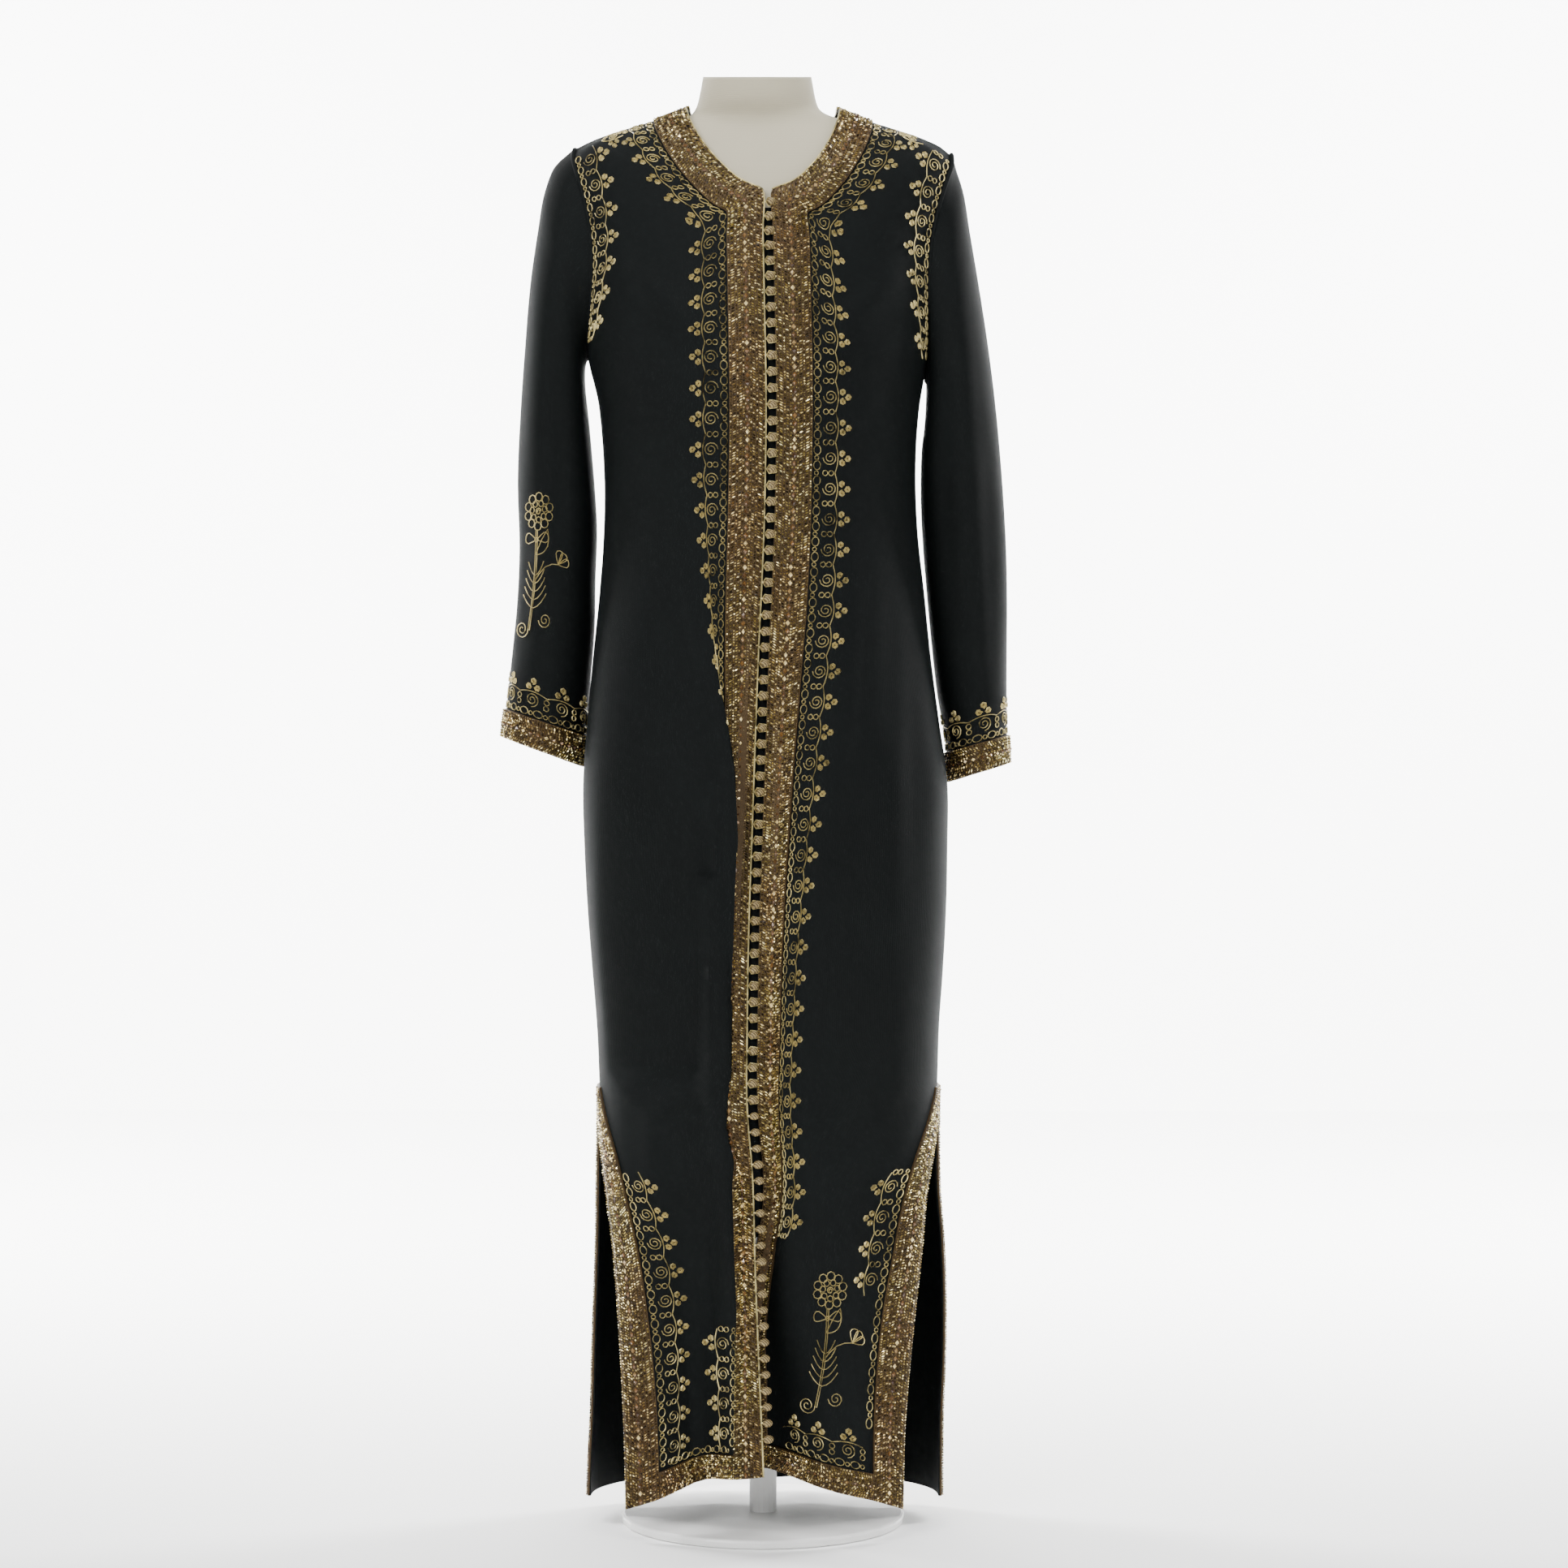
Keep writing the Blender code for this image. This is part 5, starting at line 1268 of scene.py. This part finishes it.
def arc(centre, radius, start, turn, steps, end_radius=None):
    """Points on an arc or spiral, angles in turns."""
    last = radius if end_radius is None else end_radius
    line = []
    for k in range(steps + 1):
        far, a = radius + (last - radius) * k / steps, 2 * math.pi * (start + turn * k / steps)
        line.append((centre[0] + far * math.cos(a), centre[1] + far * math.sin(a)))
    return line


def petal(root, lean, long, wide, steps=7):
    """A pointed loop that leaves its root and comes back to it; lean in turns."""
    a = 2 * math.pi * lean
    ahead, side = (math.cos(a), math.sin(a)), (-math.sin(a), math.cos(a))
    line = []
    for k in range(steps + 1):
        f = k / steps
        far = long * math.sin(math.pi * f) ** 0.8
        off = wide * math.sin(2 * math.pi * f)
        line.append((root[0] + ahead[0] * far + side[0] * off,
                     root[1] + ahead[1] * far + side[1] * off))
    return line


def squeezed(line, centre, wide, high):
    """A round drawing made oval about its centre."""
    return [(centre[0] + (u - centre[0]) * wide, centre[1] + (v - centre[1]) * high)
            for u, v in line]


# one repeat of the border: u runs along it from the repeat's middle, v away from the braid
HALF = SCROLL_PITCH / 2
RINGS = []
for PLACE in (-HALF / 2, HALF / 2):
    CENTRE = (PLACE, RING_PLACE)
    RINGS.append(squeezed(arc(CENTRE, 0.0047, 0.0, 1.0, RING_SIDES)[:-1], CENTRE, 1.0, 0.76))
    RINGS.append(arc((PLACE + HALF / 2, RING_PLACE - 0.0006), 0.0021, 0.0, 1.0, 7)[:-1])
SCROLL = [
    arc((0.0, 0.0184), 0.0074, -0.25, 1.9, 22, 0.0014),
    arc((HALF, 0.0136), 0.0027, -0.25, 1.0, 7),
    arc((HALF, 0.0196), 0.0027, -0.25, 1.0, 7),
    [(-HALF + HALF * k / 4, 0.0236 + 0.0030 * math.sin(math.pi * k / 8)) for k in range(9)],
]
TIP = [
    arc((0.0, 0.0372), 0.0033, -0.25, 2.0, 12, 0.0008),
    arc((0.0047, 0.0314), 0.0032, 0.5, 2.0, 12, 0.0008),
    arc((-0.0047, 0.0314), 0.0032, 0.0, -2.0, 12, 0.0008),
]
# from the braid outwards: the lines, their cord, whether they close, and their tone from and to
BORDER_BANDS = ((RINGS, CORD_RADIUS, True, 0.35, 0.95), (SCROLL, CORD_RADIUS, False, 0.35, 0.95),
                (TIP, TIP_CORD_RADIUS, False, 0.55, 1.0))


def lay(work, spot, line, tone, closed, radius):
    """Couch a cord: spot gives the point and normal for each (u, v) of the line."""
    placed = [spot(u, v) for u, v in line]
    work.tube([p for p, n in placed], [n for p, n in placed], radius, tone, closed=closed)


def border(work, strip, start, end, seed, flip=1.0, gap=0.0, bands=3):
    """Repeats of the border's first bands along a strip, gap away from its line."""
    chance = random.Random(seed)
    count = max(1, round((end - start) / SCROLL_PITCH))
    pitch = (end - start) / count
    stretch = flip * pitch / SCROLL_PITCH
    for k in range(count):
        middle = start + pitch * (k + 0.5)
        for lines, radius, closed, low, high in BORDER_BANDS[:bands]:
            tone = chance.uniform(low, high)
            for line in lines:
                lay(work, lambda u, v: strip.at(middle + u * stretch, v + gap, COUCHED), line,
                    tone, closed, radius)


def height_mark(strip, z):
    """Distance along a strip at which it reaches a height."""
    marks = np.linspace(0.0, strip.length, 200)
    heights = np.array([strip.at(s, 0.0)[0][2] for s in marks])
    return float(marks[int(np.argmin(np.abs(heights - z)))])


FIRST_END, LAST_END = 0.006, 0.004      # plain cloth before and after most borders
SHOULDER_LOWER = 0.004      # the shoulder's border lies a little below the seam
SHOULDER_ENDS = (0.030, 0.038)
BACK_HEM_END = 0.012
BACK_SLIT_END = 0.045       # its slit borders begin above the hem's
SEAM_RADIUS = 0.0024        # the sleeve's turned seam
SEAM_LIFT = 0.0004
# on the fronts' hems: plain cloth at both ends, and how many of the border's bands show
HEM_BORDERS = {"right": (0.012, 0.012, 1), "left": (0.020, 0.012, 3)}
# beside the slits: heights where the border begins and ends, and how many bands show
SLIT_BORDERS = {"right": ((None, 0.368, 3),), "left": ((0.110, 0.245, 1), (0.245, 0.368, 3))}
# beside the front edges: the heights between which the folds leave the border in sight
FRONT_BORDERS = {"right": ((None, 0.215), (0.800, None)), "left": ((0.305, None),)}

for SIDE in ("right", "left"):
    PANEL = PANELS[SIDE]
    R, C = PANEL.rows, PANEL.columns
    SEED = 20 if SIDE == "right" else 60
    TURN = -SIGN[SIDE]
    WORK = Work()
    # beside the front edge and round the neck, up to the shoulder seam
    FRONT = Strip(PANEL, row_paths(range(R[HEM_ROWS - 1], R[-1] + 1), C[3], C[-4]))
    for LOW, HIGH in FRONT_BORDERS[SIDE]:
        border(WORK, FRONT, height_mark(FRONT, LOW) if LOW else FIRST_END,
               height_mark(FRONT, HIGH) if HIGH else FRONT.length - LAST_END, SEED, TURN)
    # above the hem, between the front border and the slit's
    HEM = Strip(PANEL, column_paths(between_braids(PANEL), R[HEM_ROWS - 1], R[HEM_ROWS + 2]))
    NEAR, FAR, BANDS = HEM_BORDERS[SIDE]
    border(WORK, HEM, NEAR, HEM.length - FAR, SEED + 1, -TURN, bands=BANDS)
    # inwards from the slit braid
    SLIT = Strip(PANEL, row_paths(slit_rows(PANEL, HEM_ROWS - 1), C[-4], C[3]))
    for LOW, HIGH, BANDS in SLIT_BORDERS[SIDE]:
        border(WORK, SLIT, height_mark(SLIT, LOW) if LOW else FIRST_END,
               height_mark(SLIT, HIGH), SEED + 2, -TURN, bands=BANDS)
    # along the armhole and down from the shoulder seam
    ARM = Strip(PANEL, row_paths(range(R[len(ROWS) + 1], R[-1] - 3), C[-1], C[3]))
    border(WORK, ARM, LAST_END, ARM.length - LAST_END, SEED + 3, -TURN)
    SHOULDER = Strip(PANEL, column_paths(range(C[3], C[-1] + 1), R[-1], R[-4]))
    border(WORK, SHOULDER, SHOULDER_ENDS[0], SHOULDER.length - SHOULDER_ENDS[1], SEED + 4, TURN,
           SHOULDER_LOWER)
    WORK.finish("scroll_border_" + SIDE, (CORD,), "gold_cord")

WORK = Work()
R, C = BACK.rows, BACK.columns
HEM = Strip(BACK, column_paths(between_braids(BACK), R[HEM_ROWS - 1], R[HEM_ROWS + 2]))
border(WORK, HEM, BACK_HEM_END, HEM.length - BACK_HEM_END, 101)
for SEED, TURN, NEAR, FAR in ((103, 1.0, C[3], C[6]), (104, -1.0, C[-4], C[-7])):
    SLIT = Strip(BACK, row_paths(slit_rows(BACK, HEM_ROWS - 1), NEAR, FAR))
    border(WORK, SLIT, BACK_SLIT_END, SLIT.length - LAST_END, SEED, TURN)
NAPE = Strip(BACK, column_paths(BACK_NECK, R[-3], R[-6]))
border(WORK, NAPE, LAST_END, NAPE.length - LAST_END, 107)
WORK.finish("scroll_border_back", (CORD,), "gold_cord")

for SIDE in ("right", "left"):
    CUFF = PANELS["sleeve_" + SIDE]
    WORK = Work()
    ABOVE = Strip(CUFF, round_paths(CUFF, -3, -5), closed=True)
    border(WORK, ABOVE, 0.0, ABOVE.length, 120, -SIGN[SIDE])
    WORK.finish("scroll_border_cuff_" + SIDE, (CORD,), "gold_cord")
    # the turned seam round the sleeve's head, in the knit itself
    SEAM = Work()
    SEAM.tube(CUFF.grid[0] + CUFF.normals[0] * SEAM_LIFT, CUFF.normals[0], SEAM_RADIUS, 0.5,
              sides=8, closed=True)
    SEAM.finish("armhole_seam_" + SIDE, (KNIT,), "knit")

# ---- the sprays --------------------------------------------------------------------------
# Two flower sprays in the same couched cord, one low on the right sleeve and one low on the
# left front: a ringed flower head, a stem with a bow, curled leaves and a spiral foot.


STEEPEST = 0.25             # a drawing is laid as if the cloth faced the front at least so much
SPRAY_CORD = CORD_RADIUS * 0.95
LEAF_STEPS = 9


def spot_on(cloth, x0, z0):
    """Places for a drawing on a cloth, from a foot at x0, z0 in the front view."""
    grid, normals = cloth.grid, cloth.normals
    half = cloth.columns[len(FRONT_PHI)] if cloth.ring else grid.shape[1] - 1

    def spot(u, v):
        x, z = x0 + u, z0 + v
        heights = grid[:, :half + 1, 2].mean(axis=1)
        i = int(np.argmin(np.abs(heights - z)))
        for _ in range(4):
            j = int(np.argmin(np.abs(grid[i, :half + 1, 0] - x)))
            i = int(np.argmin(np.abs(grid[:, j, 2] - z)))
        i, j = min(max(i, 1), len(grid) - 2), min(max(j, 1), half - 1)
        p, normal = grid[i, j], normals[i, j]
        flat = np.array([x - p[0], 0.0, z - p[2]])
        y = -(flat[0] * normal[0] + flat[2] * normal[2]) / min(normal[1], -STEEPEST)
        return p + flat + np.array([0.0, y, 0.0]) + normal * (WALL + COUCHED), normal
    return spot


def leaf(root, lean, long, wide, curl):
    """A curled leaf's outline, out along one edge and back along the other."""
    line = []
    for k in range(2 * LEAF_STEPS + 1):
        out = k <= LEAF_STEPS
        f = (k if out else 2 * LEAF_STEPS - k) / LEAF_STEPS
        side = 1.0 if out else -1.0
        a = 2 * math.pi * (lean + curl * f)
        off = wide * math.sin(math.pi * f) * side
        line.append((root[0] + math.cos(a) * long * f - math.sin(a) * off,
                     root[1] + math.sin(a) * long * f + math.cos(a) * off))
    return line


def spray(name, cloth, x0, z0, high, wide):
    """A flower spray, drawn in shares of its height from its foot; wide narrows it."""
    work = Work()
    place = spot_on(cloth, x0, z0)

    def spot(u, v):
        return place(u * high * wide, v * high)

    def draw(line, tone=0.7, closed=False):
        lay(work, spot, line, tone, closed, SPRAY_CORD)

    # the flower head: a coil and two rings of round petals
    head = (0.13, 0.85)
    draw(arc(head, 0.026, 0.0, 1.7, 14, 0.006), 0.95)
    for count, far, size in ((7, 0.056, 0.021), (10, 0.098, 0.030)):
        for k in range(count):
            a = 2 * math.pi * (k / count + 0.04)
            centre = (head[0] + far * math.cos(a), head[1] + far * math.sin(a))
            draw(arc(centre, size, 0.0, 1.0, 8)[:-1], 0.85, True)
    # a double stem with a small bow under the head
    for side in (-0.007, 0.007):
        draw([(0.115 + side - 0.085 * f + 0.02 * math.sin(math.pi * f), 0.73 - 0.68 * f)
              for f in (0.0, 0.15, 0.3, 0.45, 0.6, 0.75, 0.9, 1.0)])
    for lean in (0.03, 0.47):
        draw(petal((0.112, 0.66), lean, 0.105, 0.036, 9), 0.9)
    draw(arc((0.112, 0.66), 0.015, 0.0, 1.0, 7)[:-1], 0.95, True)
    # a curled leaf, a branch with a bud, and short curved leaves like a comb on both sides
    draw(leaf((0.10, 0.56), 0.07, 0.20, 0.034, 0.09), 0.8)
    draw([(0.075 + 0.22 * f, 0.36 + 0.13 * f + 0.05 * math.sin(math.pi * f))
          for f in (0.0, 0.25, 0.5, 0.75, 1.0)])
    for lean in (0.02, 0.12, 0.22):
        draw(petal((0.295, 0.49), lean, 0.095, 0.030, 8), 0.9)
    for k in range(5):
        low = 0.20 + 0.055 * k
        stem = 0.055 + 0.10 * low
        for side, long, tone in ((1, 0.115 - 0.010 * k, 0.75), (-1, 0.095 - 0.008 * k, 0.6)):
            draw([(stem + side * long * f, low + 0.085 * f * f + 0.01 * f)
                  for f in (0.0, 0.3, 0.6, 0.85, 1.0)], tone)
    # the foot's curls
    draw(arc((-0.035, 0.06), 0.062, 0.0, -1.9, 24, 0.010), 0.8)
    draw(arc((0.175, 0.115), 0.055, 0.5, 1.8, 20, 0.008), 0.75)
    work.finish(name, (CORD,), "gold_cord")


spray("flower_spray_sleeve", PANELS["sleeve_right"], -0.242, 0.905, 0.150, 0.75)
spray("flower_spray_skirt", PANELS["left"], 0.0500, 0.128, 0.148, 0.88)

# ---- the closure -------------------------------------------------------------------------
# Knotted cord buttons set close together down the right front's edge, and corded loops on the
# left edge. A twisted cord runs down the right front's edge and round the neck.
BUTTON_PITCH = 0.0160
BUTTON_RADIUS = 0.0044
BUTTON_SHAPE = (1.20, 0.80, 0.96)
BUTTON_TOP_DROP = 0.012
BUTTON_BOTTOM_RISE = 0.030
BUTTON_LIFT = 0.0034
BUTTON_BESIDE = 0.0068      # from the right front's edge
BUTTON_SIZES = (0.93, 1.05)
BUTTON_SEED = 77
BUTTONED_ABOVE = 0.430      # below this the flap hangs free, and its loops don't show
LOOP_RADIUS = 0.0008
LOOP_ROOT = 0.0012          # inside the left front's edge
LOOP_HALF = 0.0016          # half the distance between a loop's two ends
# a loop's course round its button, x and z from the button's middle
LOOP = ((0.0040, -0.0030), (-0.0030, -0.0040), (-0.0054, 0.0), (-0.0030, 0.0040),
        (0.0040, 0.0030))
SHANK_RADIUS = LOOP_RADIUS * 1.3
UNDERLAP_LOW, UNDERLAP_HIGH, UNDERLAP_ROWS = 0.305, 1.330, 90
UNDERLAP_BACK = 0.0016      # behind the fronts
UNDERLAP_WALL = 0.001
EDGE_CORD = 0.0011
EDGE_CORD_LIFT = WALL + BRAID_HIGH * 0.75

KNOT = Finish("knotted_cord_pale", Metallic=0.35, Coat_Weight=0.1)
TURNS = KNOT.node("ShaderNodeTexWave", {"bands_direction": "DIAGONAL"}, {
    "Vector": KNOT.place(), "Scale": 190.0, "Distortion": 1.5})
KNOT.paint("Base Color", KNOT.blend(TURNS, (0.060, 0.040, 0.014), (0.34, 0.25, 0.105)))
KNOT.paint("Roughness", TURNS * 0.2 + 0.34)
KNOT.relief(TURNS, 0.0006, 0.9)

bpy.ops.object.select_all(action="DESELECT")
bpy.ops.mesh.primitive_uv_sphere_add(segments=9, ring_count=6, radius=BUTTON_RADIUS,
                                     location=(0.0, 0.0, 0.0))
BALL = bpy.context.object
bpy.ops.object.mode_set(mode="EDIT")
bpy.ops.transform.resize(value=BUTTON_SHAPE)
bpy.ops.object.mode_set(mode="OBJECT")
KNOT_POINTS = [np.array(v.co) for v in BALL.data.vertices]
# in a fixed order, each face from its lowest corner, so that every run gives the same mesh
KNOT_FACES = []
for FACE in BALL.data.polygons:
    FIRST = list(FACE.vertices).index(min(FACE.vertices))
    KNOT_FACES.append(tuple(FACE.vertices[FIRST:]) + tuple(FACE.vertices[:FIRST]))
KNOT_FACES.sort()
bpy.data.objects.remove(BALL)


def neck_corner(cloth):
    """The fine row in which a front's edge turns into the neckline."""
    return cloth.rows[len(ROWS) + len(UPPER_EDGE_ROWS)]


def edge_at(cloth, column, z):
    """The point of one of a front's fine columns at a height below the neck."""
    line = cloth.grid[:neck_corner(cloth) + 1, column]
    return np.array([np.interp(z, line[:, 2], line[:, k]) for k in range(3)])


def on_line(place, marks, values):
    """A row of values read at a distance along a line."""
    return np.array([np.interp(place, marks, values[:, k]) for k in range(3)])


PANEL, OTHER = PANELS["right"], PANELS["left"]

# a narrow underlap of the knit behind the buttons keeps the gap between the edges dark
GRID = []
for ROW in range(UNDERLAP_ROWS + 1):
    Z = UNDERLAP_LOW + (UNDERLAP_HIGH - UNDERLAP_LOW) * ROW / UNDERLAP_ROWS
    GRID += [tuple(edge_at(CLOTH, COLUMN, Z) + np.array([0.0, UNDERLAP_BACK, 0.0]))
             for CLOTH, COLUMN in ((OTHER, 1), (OTHER, 0), (PANEL, 0), (PANEL, 1))]
MESH = bpy.data.meshes.new("button_underlap")
MESH.from_pydata(GRID, [], [(4 * r + c, 4 * r + c + 1, 4 * r + c + 5, 4 * r + c + 4)
                            for r in range(UNDERLAP_ROWS) for c in range(3)])
MESH.uv_layers.new(name="weave")
if MESH.polygons[0].normal.y > 0:
    MESH.flip_normals()
MESH.materials.append(KNIT.material)
UNDERLAP = added("button_underlap", MESH)
with_modifier(UNDERLAP, "SOLIDIFY", thickness=UNDERLAP_WALL, offset=-1.0)
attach(UNDERLAP, "root")

CORNER = neck_corner(PANEL)
EDGE, EDGE_NORMALS = PANEL.grid[:CORNER + 1, 0], PANEL.normals[:CORNER + 1, 0]
MARKS = along(EDGE)
WORK = Work()
CHANCE = random.Random(BUTTON_SEED)
BESIDE = np.array([BUTTON_BESIDE, 0.0, 0.0])
END = np.array([0.0, 0.0, LOOP_HALF])
PLACE = BUTTON_BOTTOM_RISE + BUTTON_PITCH / 2
while PLACE < MARKS[-1] - BUTTON_TOP_DROP:
    NORMAL = on_line(PLACE, MARKS, EDGE_NORMALS)
    NORMAL /= np.linalg.norm(NORMAL)
    MIDDLE = on_line(PLACE, MARKS, EDGE) + NORMAL * (WALL + BUTTON_LIFT) + BESIDE
    SIZE = CHANCE.uniform(*BUTTON_SIZES)
    WORK.add([MIDDLE + p * SIZE for p in KNOT_POINTS], KNOT_FACES, 0.8)
    # the button's short shank, and the loop that catches it from the other edge
    WORK.tube([MIDDLE - BESIDE, MIDDLE], [NORMAL, NORMAL], SHANK_RADIUS, 0.6, 1, 4)
    ROOT = np.array([edge_at(OTHER, 0, MIDDLE[2])[0] + LOOP_ROOT, MIDDLE[1], MIDDLE[2]])
    LINE = [ROOT - END] + [MIDDLE + np.array([x, 0.0, z]) for x, z in LOOP] + [ROOT + END]
    if MIDDLE[2] > BUTTONED_ABOVE:
        WORK.tube(LINE, [NORMAL] * len(LINE), LOOP_RADIUS, 0.7, 1, 4)
    PLACE += BUTTON_PITCH
BUTTONS = WORK.finish("knotted_buttons", (KNOT, CORD), "gold_cord", smooth_under=70)
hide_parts("button_row")

WORK = Work()
for CLOTH, ROW, COLUMN, TONE in ((PANEL, slice(0, None), 0, 0.65),
                                 (OTHER, slice(CORNER, None), 0, 0.65),
                                 (BACK, -1, slice(BACK_NECK.start, BACK_NECK.stop), 0.55)):
    NORMALS = CLOTH.normals[ROW, COLUMN]
    WORK.tube(CLOTH.grid[ROW, COLUMN] + NORMALS * EDGE_CORD_LIFT, NORMALS, EDGE_CORD, TONE,
              sides=6)
WORK.finish("edge_cord", (CORD,), "gold_cord")

# ---- the room ----------------------------------------------------------------------------
# A plain pale floor that sweeps up behind, a large soft key from the front left, a fill from
# the front right, lights above and behind the shoulders, and two that wash the backdrop.
FLOOR_SIZE = 9.0
FLOOR_BACK = 4.0            # the floor's far edge lies beyond this
SWEEP_HIGH = 5.0
SWEEP = Finish("paper_pale", Roughness=0.9)
SWEEP.paint("Base Color", SWEEP.blend(SWEEP.noise(0.8), (0.94, 0.94, 0.93), (0.97, 0.97, 0.96)))
bpy.ops.object.select_all(action="DESELECT")
bpy.ops.mesh.primitive_plane_add(size=FLOOR_SIZE, location=(0.0, 0.0, 0.0))
FLOOR = bpy.context.object
FLOOR.name = "floor_sweep"
bpy.ops.object.mode_set(mode="EDIT")
SHEET = bmesh.from_edit_mesh(FLOOR.data)
for EDGE in SHEET.edges:
    EDGE.select = all(v.co.y > FLOOR_BACK for v in EDGE.verts)
SHEET.select_flush(False)
bmesh.update_edit_mesh(FLOOR.data)
bpy.ops.mesh.extrude_region_move(TRANSFORM_OT_translate={"value": (0.0, 0.0, SWEEP_HIGH)})
bpy.ops.object.mode_set(mode="OBJECT")
FLOOR.data.materials.append(SWEEP.material)


def softbox(name, place, aim, size, power):
    light = bpy.data.lights.new(name, "AREA")
    light.shape, light.size, light.energy = "SQUARE", size, power
    lamp = added(name, light)
    lamp.location = place
    lamp.rotation_euler = (Vector(aim) - Vector(place)).to_track_quat("-Z", "Y").to_euler()


softbox("key", (-1.9, -3.2, 2.5), (0.0, 0.0, 0.85), 1.4, 115.0)
softbox("fill", (2.2, -3.0, 1.6), (0.0, 0.0, 0.7), 1.8, 46.0)
softbox("top", (0.0, -0.6, 3.2), (0.0, 0.0, 1.0), 1.6, 50.0)
softbox("rim", (1.4, 2.2, 2.2), (0.0, 0.0, 1.1), 1.0, 12.0)
for X in (-2.4, 2.4):
    softbox("wall_wash", (X, 1.6, 2.6), (X * 0.3, 4.5, 1.0), 2.0, 800.0)
WORLD = bpy.data.worlds.new("room")
WORLD.use_nodes = True
SKY = WORLD.node_tree.nodes["Background"]
SKY.inputs["Color"].default_value = (0.90, 0.92, 0.94, 1.0)
SKY.inputs["Strength"].default_value = 0.42
bpy.context.scene.world = WORLD

LENS = bpy.data.cameras.new("view")
LENS.lens, LENS.sensor_width = 80.5, 36.0
CAMERA = added("view", LENS)
CAMERA.location = (0.0215, -3.6, 0.755)
CAMERA.rotation_euler = (math.pi / 2, 0.0, 0.0)
bpy.context.scene.camera = CAMERA
